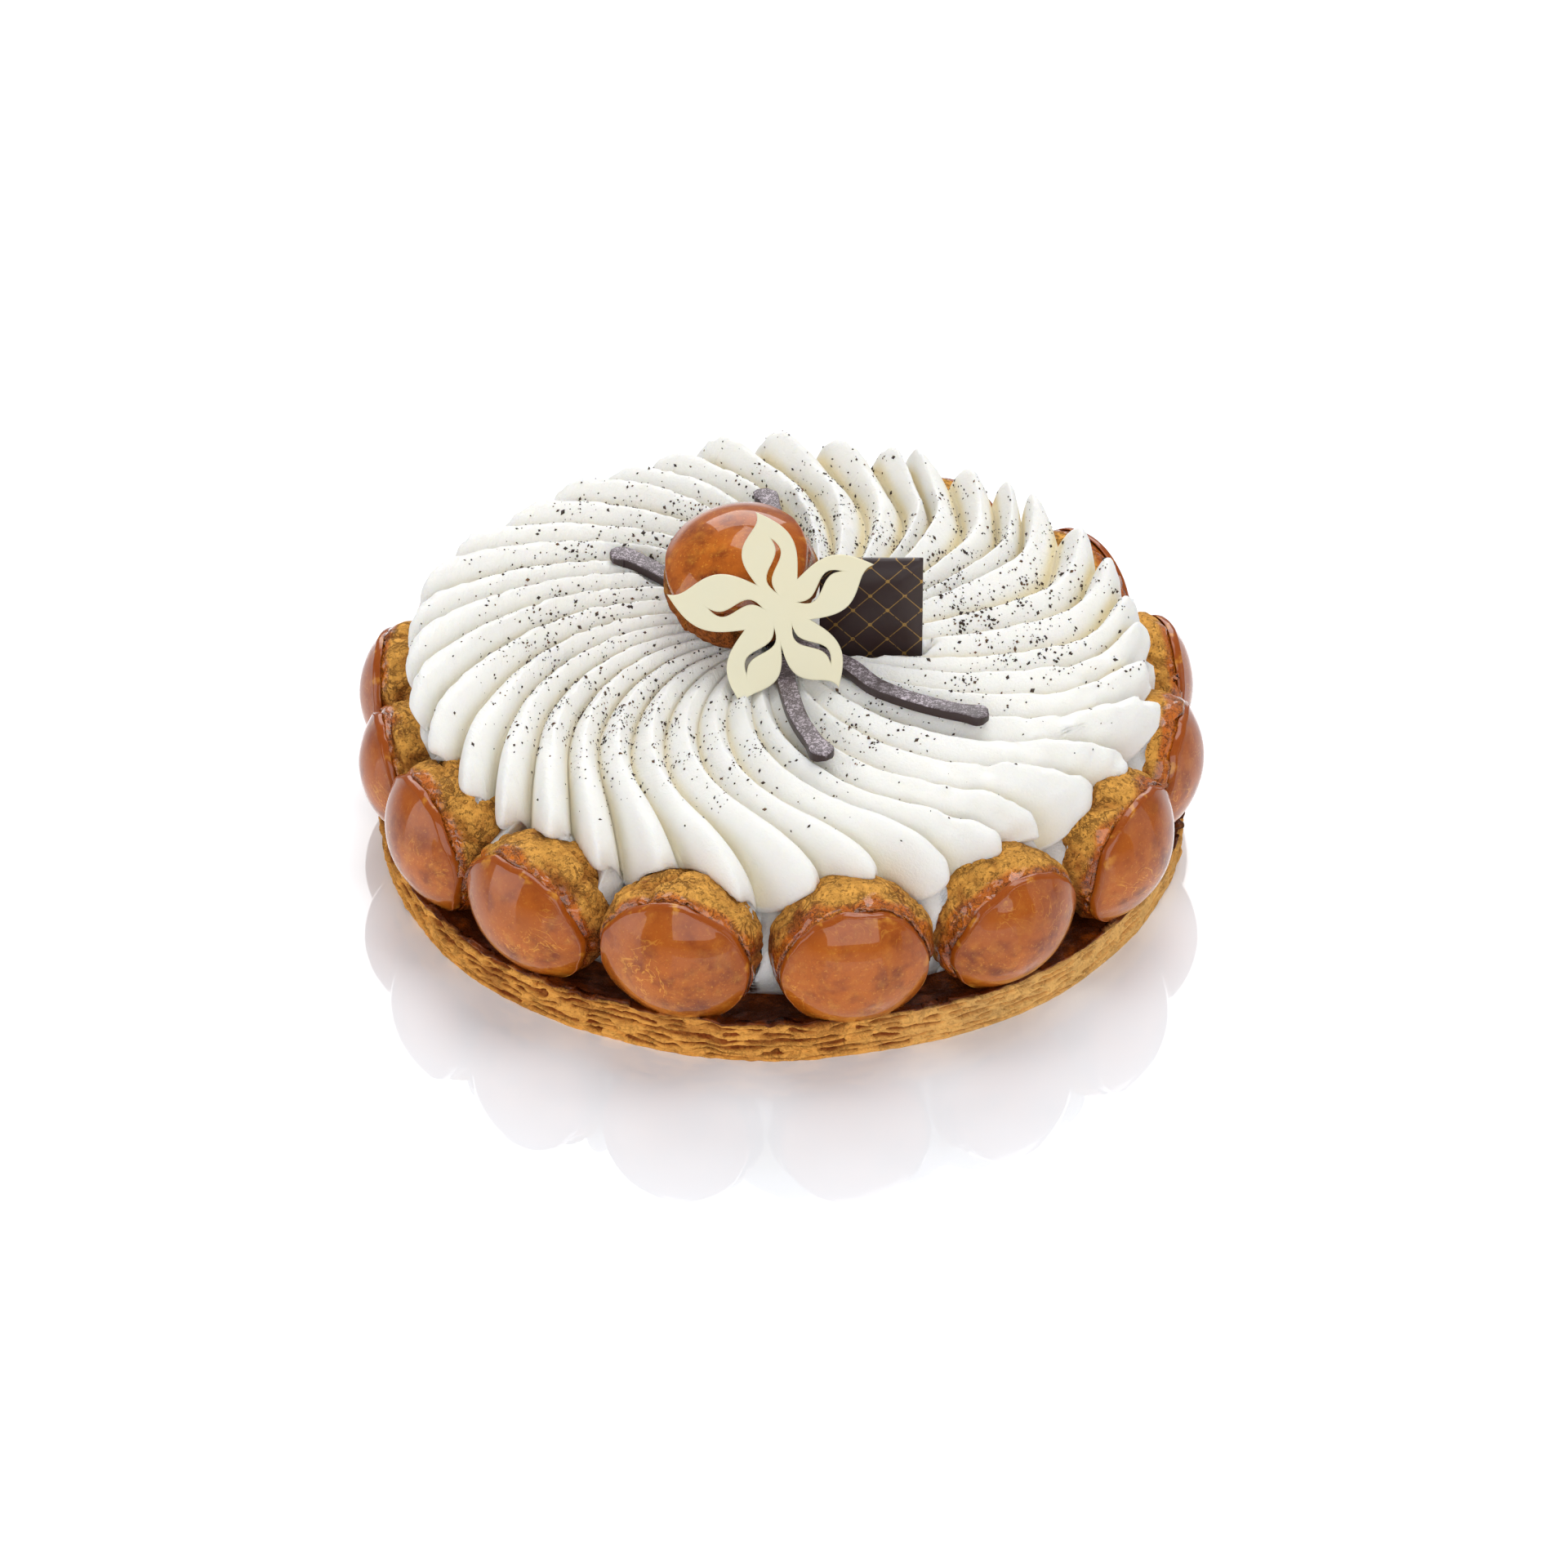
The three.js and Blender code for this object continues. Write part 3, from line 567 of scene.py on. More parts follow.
def chou_surface(chou, sizes):
    """The baked body, by a polar angle from its back to its front and an angle round its
    axis: an ellipsoid cut off in front by the caramel's dome, with crags on its skin and
    cracks along the borders of large random cells."""
    polar_steps, round_steps = 80, 124
    tilt = np.linspace(0.02, math.pi - 0.03, polar_steps)[:, None]
    angle = np.linspace(0, 2 * math.pi, round_steps, endpoint=False)[None, :]
    half = np.where(tilt < math.pi / 2, chou.back, chou.front)
    along = -half * np.cos(tilt) + 0 * angle
    across = chou.width * np.sin(tilt) * np.cos(angle)
    upward = chou.height * np.sin(tilt) * np.sin(angle)
    skin = chou.point(along, across, upward)
    normal = chou.point(along / half ** 2, across / chou.width ** 2, upward / chou.height ** 2)
    normal = normal - chou.centre
    normal /= np.linalg.norm(normal, axis=-1, keepdims=True)
    seed = chou.number * 17
    shifted = skin + 2.5 * np.stack([noise(skin, 5, seed + k) for k in range(3)], -1)
    crack = np.exp(-(cell_border(shifted, 19, seed) / 0.085) ** 2)
    crack = crack * smooth(noise(skin, 17, seed + 5), -0.25, 0.3)
    flake = np.exp(-(cell_border(shifted, 7, seed + 3) / 0.10) ** 2)
    flake = flake * smooth(noise(skin, 9, seed + 6), 0.0, 0.5)
    lumps = crags(skin, 12, seed + 9)
    crumb = crags(skin, 3.0, seed + 21)
    lift = (sizes.lump * lumps + 0.45 * sizes.lump * crumb - sizes.crack * crack
            - 0.35 * sizes.crack * flake) / MM
    skin = skin + normal * lift[..., None]
    out, left, top = chou.offsets(skin)
    left = left / chou.squeeze
    radius = np.hypot(left, top)
    beyond = radius - chou.rim(np.arctan2(top, left))
    floor = chou.dome(np.minimum(radius, CAP_RIM * chou.size * 1.05), CAP_THICKNESS + GAP)
    out = np.where(beyond < 0.4, np.minimum(out, floor), out)
    skin = chou.held(chou.point(out, left * chou.squeeze, top), 0.1)
    behind_rim = out - chou.dome(CAP_RIM * chou.size, CAP_THICKNESS + GAP)
    marks = {
        # The lift and low marks also feed painted light: raised lumps are painted lighter and the
        # lower part of each chou darker.
        "crack": np.maximum(crack, 0.6 * flake),
        "lift": lumps,
        "glaze": smooth(behind_rim + 4.4 * crags(skin, 8, seed + 33), -2.8, -0.4),
        "low": 1 - smooth((skin[..., 2] - chou.foot) / chou.height, 0.2, 1.95),
    }
    return skin, marks


def caramel_surface(chou, sizes):
    """The set caramel, by distance and angle about the chou's axis: a shallow dome with slow
    waves, a rounded lip at its edge, and a back that follows it at the caramel's thickness."""
    steps = 136
    angle = np.linspace(0, 2 * math.pi, steps, endpoint=False)[None, :]
    edge = chou.rim(angle)
    share = np.concatenate([np.linspace(0.03, 0.9, 30), np.linspace(0.92, 0.985, 8)])[:, None]
    lip = np.linspace(0, math.pi, 9)[:, None]
    back_share = np.linspace(0.96, 0.05, 8)[:, None]
    half = CAP_THICKNESS / 2
    radius = np.vstack([share * edge, edge * (0.985 + 0.02 * np.sin(lip)), back_share * edge])
    inset = np.vstack([0 * share * edge, half * (1 - np.cos(lip)) + 0 * edge,
                       CAP_THICKNESS + 0 * back_share * edge])
    along = chou.dome(radius, inset)
    spread = radius * np.cos(angle) * chou.squeeze, radius * np.sin(angle)
    skin = chou.point(along, *spread)
    wave = noise(skin, 15, 60 + chou.number) + 0.4 * noise(skin, 6, 80 + chou.number)
    outer = 1 - smooth(inset, 0, CAP_THICKNESS)
    bead = 0.22 * np.exp(-((edge - radius) / 1.0) ** 2)
    along = along + outer * (wave * sizes.caramel_wave / MM + bead)
    skin = chou.held(chou.point(along, *spread), -0.1)
    marks = {"rim": np.exp(-((edge - radius) / 1.4) ** 2) * outer + (1 - outer),
             "low": 1 - smooth((skin[..., 2] - chou.foot) / chou.height, 0.0, 0.45),
             # upper: the cap's upper side, which the caramel material paints darker as shade.
             "upper": smooth(np.sin(angle) * radius / edge + 0.25 * noise(skin, 12, 71), -0.1, 0.7)}
    return skin, marks


def choux_material(tints):
    def build(tree):
        where = place(tree)
        # Painted shade and highlight: the crust is pushed darker on the lower part of the chou,
        # where top light falls less, and lighter on its raised lumps.
        darkening = maths(tree, "MULTIPLY_ADD", mark(tree, "low"), 0.36, -0.13)
        darkening = maths(tree, "MULTIPLY_ADD", mark(tree, "lift"), -0.08, darkening)
        crust = use_group(tree, baked_crust(), Vector=where, Light=tints.choux_light,
                          Dark=tints.choux_dark, Patches=110.0, Pores=850.0, Browning=darkening)
        inside = blend(tree, grain(tree, where, 700, 3), tints.choux_light, tints.choux_dark)
        tone = blend(tree, times(tree, mark(tree, "crack"), 0.75), crust["Colour"],
                     blend(tree, 0.5, inside, tints.choux_dark))
        sugar = use_group(tree, set_sugar(), Vector=where, Amber=tints.caramel,
                          Dark=tints.caramel_dark, Gold=tints.caramel_gold)
        glaze = mark(tree, "glaze")
        under = blend(tree, 1.0, crust["Colour"], (0.95, 0.50, 0.18), "MULTIPLY")
        tone = blend(tree, glaze, tone, blend(tree, 0.45, under, sugar["Colour"]))
        rough = maths(tree, "MULTIPLY_ADD", glaze, -0.5, 0.75)
        return {"Base Color": tone, "Roughness": rough, "Coat Weight": glaze,
                "Normal": bump(tree, crust["Height"], 1.0, 0.0011)}
    return new_material("Choux crust", build, **{
        "Coat Roughness": 0.05, "Specular IOR Level": 0.15})


def caramel_material(tints):
    def build(tree):
        where = place(tree)
        sugar = use_group(tree, set_sugar(), Vector=where, Amber=tints.caramel,
                          Dark=tints.caramel_dark, Gold=tints.caramel_gold)
        crust = use_group(tree, baked_crust(), Vector=where, Light=(0.72, 0.21, 0.018),
                          Dark=tints.caramel_dark, Patches=150.0, Pores=1100.0, Browning=-0.04)
        tone = blend(tree, 0.36, sugar["Colour"], crust["Colour"])
        # Painted shade: the upper side of each cap is darkened towards dark caramel.
        tone = blend(tree, times(tree, mark(tree, "upper"), 0.55), tone,
                     blend(tree, 0.4, tints.caramel, tints.caramel_dark))
        glint = times(tree, between(tree, grain(tree, where, 230, 3), 0.56, 0.70), 0.7)
        edge = blend(tree, glint, blend(tree, 0.5, tints.caramel, tints.caramel_dark),
                     tints.caramel_gold)
        tone = blend(tree, times(tree, mark(tree, "rim"), 0.7), tone, edge)
        burnt = times(tree, mark(tree, "low"), grain(tree, where, 90, 2))
        tone = blend(tree, between(tree, burnt, 0.40, 0.75), tone, tints.caramel_dark)
        return {"Base Color": tone, "Normal": bump(tree, sugar["Height"], 0.12, 0.0006)}
    return new_material("Set caramel", build, Roughness=0.35, **{
        "Specular IOR Level": 0.1, "Coat Weight": 1.0, "Coat Roughness": 0.035, "Coat IOR": 1.38})


# ---------------------------------------------------------------- pastry base

def rim_height(angle):
    rise = 0.5 + 0.5 * np.cos(angle - np.radians(RIM["azimuth"]))
    return BASE_TOP + RIM["lip"] + RIM["rise"] * rise ** 1.5


def base_reach(angle):
    return BASE_RADIUS + BASE_BULGE[1] * nearness(angle, BASE_BULGE[0], 0.4)


def pastry_surface(sizes):
    """The disc, by azimuth and by a walk from the middle of its underside, up its side and
    in over its top. Thin leaves lie at the whole numbers of a wandering phase. Between two of
    them the wall falls back, except where their thickness grows until they touch."""
    count, leaf_rows = 1300, 60
    angle = np.linspace(0, 2 * math.pi, count, endpoint=False)[None, :]
    circle = np.stack([np.cos(angle) * BASE_RADIUS, np.sin(angle) * BASE_RADIUS, 0 * angle], -1)
    pale = nearness(angle, PALE_SIDE, 0.72)
    rough = 1 - 0.65 * pale
    ragged = (0.5 * noise(circle, 4, 3) + 0.9 * np.maximum(noise(circle, 11, 4), 0) ** 2
              + 0.25 * noise(circle, 1.8, 12))
    height = rim_height(angle) + ragged * rough
    reach = base_reach(angle) - 1.0 + 0.5 * noise(circle, 22, 5)
    up = np.linspace(0, 1, leaf_rows)[:, None]
    z = up * height
    spot = circle + np.stack([0 * z, 0 * z, z * 3.2], -1)
    phase = (up * sizes.leaves + 0.75 * noise(spot, 24, 6) + 0.5 * noise(spot, 8, 7)
             + 0.2 * noise(spot, 3.5, 9))
    leaf, cell = np.round(phase), np.floor(phase)
    from_leaf = 2 * np.abs(phase - leaf)
    own = circle + np.stack([0 * leaf, 0 * leaf, leaf * 40], -1)
    hollow = circle + np.stack([0 * cell, 0 * cell, cell * 40 + 17], -1)
    thick = 0.24 + 0.80 * smooth(noise(hollow, 3.6, 8), -0.1, 0.45) + 0.15 * pale
    opened = smooth(from_leaf - thick, -0.12, 0.16) * smooth(up, 0.02, 0.10)
    depth = sizes.leaf_gap / MM * opened * (0.6 + 0.4 * noise(hollow, 6, 14))
    stand = (0.9 * noise(own, 9, 10) + 0.5 * noise(own, 3.2, 11)) * smooth(up, 0, 0.1)
    belly = 0.9 * np.sin(math.pi * np.clip(up * 0.9 + 0.1, 0, 1)) - 0.5
    flare = 0.8 * smooth(up, 0.85, 1.0)
    bumps = stand + 0.3 * noise(spot, 2.2, 13) * (1 - opened)
    wall = reach + belly + flare + bumps * rough - depth
    side = np.stack([wall * np.cos(angle), wall * np.sin(angle), z], -1)
    inward = np.array([0.5, 1.1, 1.8, 2.6, 3.6, 5, 6.6, 8.4, 10.4, 12.5, 15, 18, 24, 34, 60])
    inward = inward[:, None]
    top_radius = reach - inward
    flat = np.stack([top_radius * np.cos(angle), top_radius * np.sin(angle), 0 * top_radius], -1)
    blister = (0.55 * crags(flat, 9, 14) + 0.5 * crags(flat, 3.4, 16))
    blister = blister * smooth(inward, 0.3, 3) * (1 - smooth(inward, 18, 26))
    top_z = mix(height - 0.4, BASE_TOP + 0 * height, smooth(inward, 0.2, 14)) + blister
    top = np.concatenate([flat[..., :2], top_z[..., None]], -1)
    foot = np.stack([0.97 * reach * np.cos(angle), 0.97 * reach * np.sin(angle), 0 * angle], -1)
    marks = {
        # gap: where the leaves part, which the material darkens as painted shade.
        "gap": np.vstack([0 * angle, opened, 0 * top_z]),
        "height": np.vstack([0 * angle, up + 0 * angle, 1 + 0 * top_z]),
        "leaf": np.vstack([0 * angle, 0.5 + 0.5 * noise(own, 10, 17), 0.5 + 0 * top_z]),
        "top": np.vstack([0 * angle, smooth(up + 0.05 * noise(spot, 4, 18), 0.90, 0.98),
                          1 + 0 * top_z]),
        "pale": np.vstack([0 * angle, pale + 0 * up, 0 * top_z]),
    }
    return np.concatenate([foot, side, top]), marks, np.zeros(3), np.array([0, 0, BASE_TOP])


def pastry_material(tints):
    def build(tree):
        where = place(tree)
        top, pale = mark(tree, "top"), mark(tree, "pale")
        darkening = maths(tree, "MULTIPLY_ADD", mark(tree, "leaf"), 0.16, -0.18)
        darkening = maths(tree, "MULTIPLY_ADD", mark(tree, "height"), 0.16, darkening)
        crust = use_group(tree, baked_crust(), Vector=where, Light=tints.pastry_light,
                          Dark=blend(tree, 0.5, tints.pastry_light, tints.pastry_dark),
                          Patches=130.0, Pores=1300.0, Browning=darkening)
        side = blend(tree, times(tree, pale, 0.5), crust["Colour"], (0.88, 0.58, 0.22))
        # Painted shade: the gaps between the leaves are darkened towards the pastry's dark colour,
        # less so on the pale side.
        inside = blend(tree, between(tree, grain(tree, where, 260, 3), 0.40, 0.62),
                       tints.pastry_dark, blend(tree, 0.24, tints.pastry_dark, tints.pastry_light))
        shut = maths(tree, "MULTIPLY_ADD", pale, -0.55, 1.0)
        gap = times(tree, mark(tree, "gap"), shut)
        side = blend(tree, between(tree, gap, 0.08, 0.82), side, inside)
        streak = grain(tree, where, 170, 4, 0.6)
        glazed = blend(tree, between(tree, streak, 0.46, 0.70), tints.pastry_top,
                       blend(tree, 0.5, tints.pastry_top, tints.caramel))
        tone = blend(tree, top, side, glazed)
        rough = maths(tree, "MULTIPLY_ADD", top, -0.35, 0.75)
        coat = times(tree, times(tree, top, 0.35),
                     between(tree, streak, 0.40, 0.60))
        return {"Base Color": tone, "Roughness": rough, "Coat Weight": coat,
                "Normal": bump(tree, crust["Height"], 0.7, 0.0006)}
    return new_material("Puff pastry", build, **{
        "Coat Roughness": 0.10, "Specular IOR Level": 0.15})


# ---------------------------------------------------------------- piped cream

PER_PETAL = 18


def petal_columns(groove):
    """Azimuth of each column of the cream, its place across its petal from -1 in one groove
    over 0 on the crest to 1 in the next, and the petal's number, where the groove lies at a
    given share of the way from one crest to the next."""
    crests = FIRST_CREST + np.concatenate([[0], np.cumsum(PETAL_WIDTHS)])
    before = np.roll(crests, 1)
    before[0] -= 360
    after = np.roll(crests, -1)
    after[-1] += 360
    steep = PER_PETAL * 3 // 8
    across = np.concatenate([np.linspace(-1, 0, PER_PETAL - steep, endpoint=False),
                             np.linspace(0, 1, steep, endpoint=False)])[None, :]
    half = np.where(across < 0, (1 - groove) * (crests - before)[:, None],
                    groove * (after - crests)[:, None])
    petal = np.repeat(np.arange(len(crests)), PER_PETAL)
    azimuths = np.radians(crests[:, None] + across * half).ravel()
    return azimuths, np.tile(across[0], len(crests)), petal


def swirl_turn(radius, angle):
    """Radians a petal has turned at a radius: a bent line through 0 at the swirl radius,
    whose two slopes depend on which side of the cake it is on."""
    straight = 0.5 + 0.5 * np.cos(angle - math.radians(SWIRL_STRAIGHT))
    u = (radius - SWIRL_RADIUS) / SWIRL_RADIUS
    bend = np.sqrt(u * u + 0.003) - math.sqrt(0.003)
    return (1.1 - 0.5 * straight) * u + (0.5 * straight - 0.15) * bend


def between_choux(angle):
    """0 in front of a chou and 1 in the gap between two."""
    turn = np.max([np.cos(angle - math.radians(row[0])) for row in RING_CHOUX], axis=0)
    return smooth(np.arccos(np.clip(turn, -1, 1)), math.radians(4), math.radians(12))


def petal_choice(petal, seed):
    """A repeatable number from -1 to 1 for each petal."""
    return hashed(petal, petal * 0 + 3, petal * 0 + 5, seed) * 2 - 1


def cream_shape(angle, across, petal, sizes):
    """For each column: how far it reaches, how it ends, and how deep and sharp its groove is."""
    fin = nearness(angle, FIN_AZIMUTH, 0.35, 0.85)
    droop = nearness(angle, DROOP_AZIMUTH, 0, 0.6)
    reach = CREAM_RADIUS + sum(far * nearness(angle, azimuth, math.cos(math.radians(spread)))
                               for azimuth, spread, far in CREAM_BUMPS)
    reach = reach + sizes.petal_jitter / MM * petal_choice(petal, 21) * (1 - 0.6 * fin)
    ragged = RAGGED_ENDS[1] * nearness(angle, RAGGED_ENDS[0], 0.75)
    reach = reach + ragged * noise(np.stack([angle * 22, 0 * angle, 0 * angle], -1), 1, 24)
    edge = reach - mix(7.0, 2.5, fin) * np.abs(across) ** mix(3.0, 2.2, fin)
    edge = edge - 2.0 * droop * np.sin(math.pi * across)
    gap = between_choux(angle + swirl_turn(edge, angle))
    sag = DROOP_END[2] * gap + 1.2 * petal_choice(petal, 22)
    length = mix(BLUNT_END[0], DROOP_END[0], droop)
    drop = mix(BLUNT_END[1], DROOP_END[1] + sag, droop)
    return {"fin": fin, "gap": gap, "edge": edge, "length": length, "drop": drop}


def cream_height(radius, angle, across, petal, shape, sizes):
    """Height of the cream before its end rounds off: the crest, less a groove whose depth
    grows outwards and whose flanks are a power of the place across the petal."""
    fin, share = shape["fin"], radius / shape["edge"]
    rise, spot, length = FIN_PEAK
    hump = np.exp(-(((shape["edge"] - radius - spot) / length) ** 2))
    crest = (CREAM_TOP + CREAM_SHOULDER[1] * nearness(angle, CREAM_SHOULDER[0], 0.3, 0.9)
             + rise * hump * fin + 0.8 * petal_choice(petal, 23) * smooth(radius, 45, 80))
    depth = 1.5 + (5 + 1.5 * fin) * smooth(share, 0.05, 0.75) + (3 - fin) * smooth(share, 0.7, 1)
    power = mix(1.35, mix(2.4, 1.6, fin), smooth(share, 0.66, 0.95))
    return crest - depth * np.abs(across) ** power


def cream_surface(sizes):
    """The cream, by column (place across a petal) and by a walk out over the top, round the
    petal's end as a quarter of an ellipse, back under it and down the wall to the pastry."""
    angle, across, petal = petal_columns(0.5)
    steep, _, _ = petal_columns(GROOVE_PLACE)
    shape = cream_shape(angle, across, petal, sizes)
    edge, length, drop = shape["edge"], shape["length"], shape["drop"]
    out = np.concatenate([[0.02], np.linspace(0.045, 1, 86)])[:, None]
    turn = np.linspace(0, math.pi / 2, 15)[1:, None]
    under = np.linspace(0, math.pi / 2, 5)[1:, None]
    down = np.linspace(0, 1, 12)[1:, None]
    top_radius = out * (edge - length)
    nose_radius = edge - length * (1 - np.sin(turn))
    radius = np.vstack([top_radius, nose_radius])
    height = cream_height(radius, angle, across, petal, shape, sizes)
    height[len(out):] -= drop * (1 - np.cos(turn))
    tip = height[-1]
    under_radius = edge - 3.0 * (1 - np.cos(under))
    under_height = tip - PETAL_FLOOR * np.sin(under)
    swell = (4 + 6 * shape["gap"]) * np.sin(math.pi * down ** 0.7)
    wall_radius = mix(under_radius[-1], CREAM_CORE, smooth(down, 0, 0.3)) + swell
    wall_height = mix(under_height[-1], BASE_TOP + GAP, down)
    radius = np.vstack([radius, under_radius, wall_radius])
    height = np.vstack([height, under_height, wall_height])
    even = smooth(radius / edge, 0.66, 0.95)
    bearing = mix(steep, angle, even) + swirl_turn(np.minimum(radius, edge), angle)
    bearing[len(out) + len(turn):] = bearing[len(out) + len(turn) - 1]
    points = np.stack([radius * np.cos(bearing), radius * np.sin(bearing), height], -1)
    crest = (1 - np.abs(across)) ** 1.5 * smooth(radius, 20, 50)
    wall = np.vstack([0 * height[:len(out) + len(turn)], 1 + 0 * height[len(out) + len(turn):]])
    stiff = 0.45 + 0.55 * nearness(bearing, 140, -0.6, 0.6)
    wobble = sizes.crest_wobble / MM * (
        (0.7 * crags(points, 5, 31) * (0.35 + crest)
         + 1.3 * stiff * crest * noise(points, 2.1, 32))
        * (1 - wall) + 1.6 * crags(points, 13, 33) * wall)
    azimuth, wide, small = LUMPY_CREAM
    lumpy = nearness(bearing, azimuth, 0.72, 0.95) * smooth(radius, 62, 88) * (1 - wall)
    lumps = (wide * crags(points, 9, 35) + small * noise(points, 3.6, 37)) * lumpy
    lean = np.stack([np.cos(bearing) * 0.5, np.sin(bearing) * 0.5, 0 * bearing + 0.85], -1)
    points += lean * ((wobble + lumps) * smooth(radius, 3, 14))[..., None]
    points = pressed_by_choux(points)
    points = pressed_by_pods(points)
    points[..., 2] = np.minimum(points[..., 2], plaque_bay(points))
    marks = {
        # Painted shade: the groove mark sets how much of the cream's shade colour is laid in the
        # grooves, more at the fins, and on the wall under the petals.
        "groove": np.abs(across) ** 2.2 * (1 - wall) * smooth(radius / edge, 0.0, 0.5)
                  * mix(0.85, 1.3, shape["fin"]) + wall * 0.3,
        "across": across + 0 * height,
        "travel": radius * MM,
        "petal": petal + 0 * height,
        "stiff": stiff * (1 - 0.7 * lumpy),
    }
    return points, marks, np.array([0, 0, CREAM_TOP - 1.2]), np.array([0, 0, BASE_TOP + GAP])


def plaque_bay(points):
    """A ceiling for the cream in front of the plaque, which slopes up away from its foot."""
    beside = np.maximum(np.abs(points[..., 0] - PLAQUE["x"]) - PLAQUE["width"] / 2, 0)
    ahead = PLAQUE["y"] - points[..., 1]
    slope = 54.6 + 0.72 * np.maximum(ahead - 0.8, 0) + 1.3 * beside + 0.7 * noise(points, 4, 58)
    return np.where(ahead > 0, slope, 99.0)


def pressed_by_choux(points):
    """Points deep in a chou's ellipsoid are moved straight out from its centre, to a little
    within its skin, so that no gap shows. A deep fold of the cream can cross itself here."""
    for chou in CHOUX:
        away = np.linalg.norm(points - chou.centre, axis=-1)
        rows = np.where(away < 26)
        near = points[rows]
        along, across, upward = chou.offsets(near)
        half = np.where(along < 0, chou.back, chou.front)
        inside = np.sqrt((along / (half - PRESSED_IN)) ** 2
                         + (across / (chou.width - PRESSED_IN)) ** 2
                         + (upward / (chou.height - PRESSED_IN)) ** 2)
        grow = np.where(inside < 1, 1 / np.maximum(inside, 0.35), 1)
        points[rows] = chou.centre + (near - chou.centre) * grow[:, None]
    return points


def pod_route(index, steps=240):
    """The pod's centre line: its route over the cream, pressed down near the centre chou."""
    x, y, _ = CENTRE_CHOU["place"]
    points = []
    for px, py in POD_ROUTES[index]:
        pressed = 1 - float(smooth(math.hypot(px - x, py - y), *POD_DIP_REACH))
        points.append((px, py, POD_REST + POD_DIPS[index] * pressed))
    return along_route(points, steps)


def pressed_by_pods(points):
    """Cream under a pod is pressed down to just below it, with a soft shoulder beside it."""
    for index in range(len(POD_ROUTES)):
        route, _, _ = pod_route(index, 160)
        near = np.where((np.hypot(points[..., 0], points[..., 1]) < 75) & (points[..., 2] > 45))
        spots = points[near]
        gap = np.linalg.norm(spots[:, None, :2] - route[None, :, :2], axis=-1)
        closest = gap.argmin(axis=1)
        away = gap[np.arange(len(spots)), closest]
        ceiling = route[closest, 2] - POD_HEIGHT / 2 - 0.15
        ceiling = ceiling + 4.0 * smooth(away, POD_WIDTH / 2 - 0.2, POD_WIDTH / 2 + 3)
        free = away > POD_WIDTH / 2 + 3
        points[near[0], near[1], 2] = np.where(free, spots[:, 2], np.minimum(spots[:, 2], ceiling))
    return points


def cream_material(tints):
    """White cream, with painted shade: a warm yellow laid down in the grooves and on the wall
    under the petals. Its bumps are fine pores, and streaks that run across each petal: noise
    on the distance out, the petal and a little of the place across it."""
    def build(tree):
        where = place(tree)
        # Painted shade: the grooves and the wall are tinted towards the cream's shade colour.
        groove = between(tree, mark(tree, "groove"), 0.28, 1.0)
        tone = blend(tree, times(tree, groove, 0.9), tints.cream, tints.cream_shade)
        fine = grain(tree, where, 1500, 3, 0.6)
        along = node(tree, "ShaderNodeCombineXYZ", {
            0: times(tree, mark(tree, "travel"), 650.0),
            1: times(tree, mark(tree, "across"), 0.8),
            2: times(tree, mark(tree, "petal"), 7.3)}).outputs[0]
        streaks = times(tree, grain(tree, along, 1.0, 3, 0.6), mark(tree, "stiff"))
        height = maths(tree, "ADD", times(tree, fine, 0.45), streaks)
        return {"Base Color": tone, "Normal": bump(tree, height, 0.8, 0.0008)}
    return new_material("Whipped cream", build, Roughness=0.5, **{
        "Specular IOR Level": 0.35, "Subsurface Weight": 0.4,
        "Subsurface Radius": (1.0, 0.85, 0.6), "Subsurface Scale": 0.004})


# ---------------------------------------------------------------- vanilla specks

def speck_density(points):
    """How thick the specks lie: most in a broad ring half way out, more at the right and the
    back, and few on the outer front right."""
    radius = np.hypot(points[:, 0], points[:, 1])
    angle = np.arctan2(points[:, 1], points[:, 0])
    ring = np.exp(-((radius - 55) / 27) ** 2) + 0.10
    right = 1 + 1.1 * nearness(angle, 12, 0.6) * smooth(radius, 30, 60)
    front = 1 - 0.88 * nearness(angle, 300, 0.2) * smooth(radius, 46, 70)
    left = 1 - 0.4 * nearness(angle, 190, 0.3) * smooth(radius, 78, 96)
    return ring * right * front * left


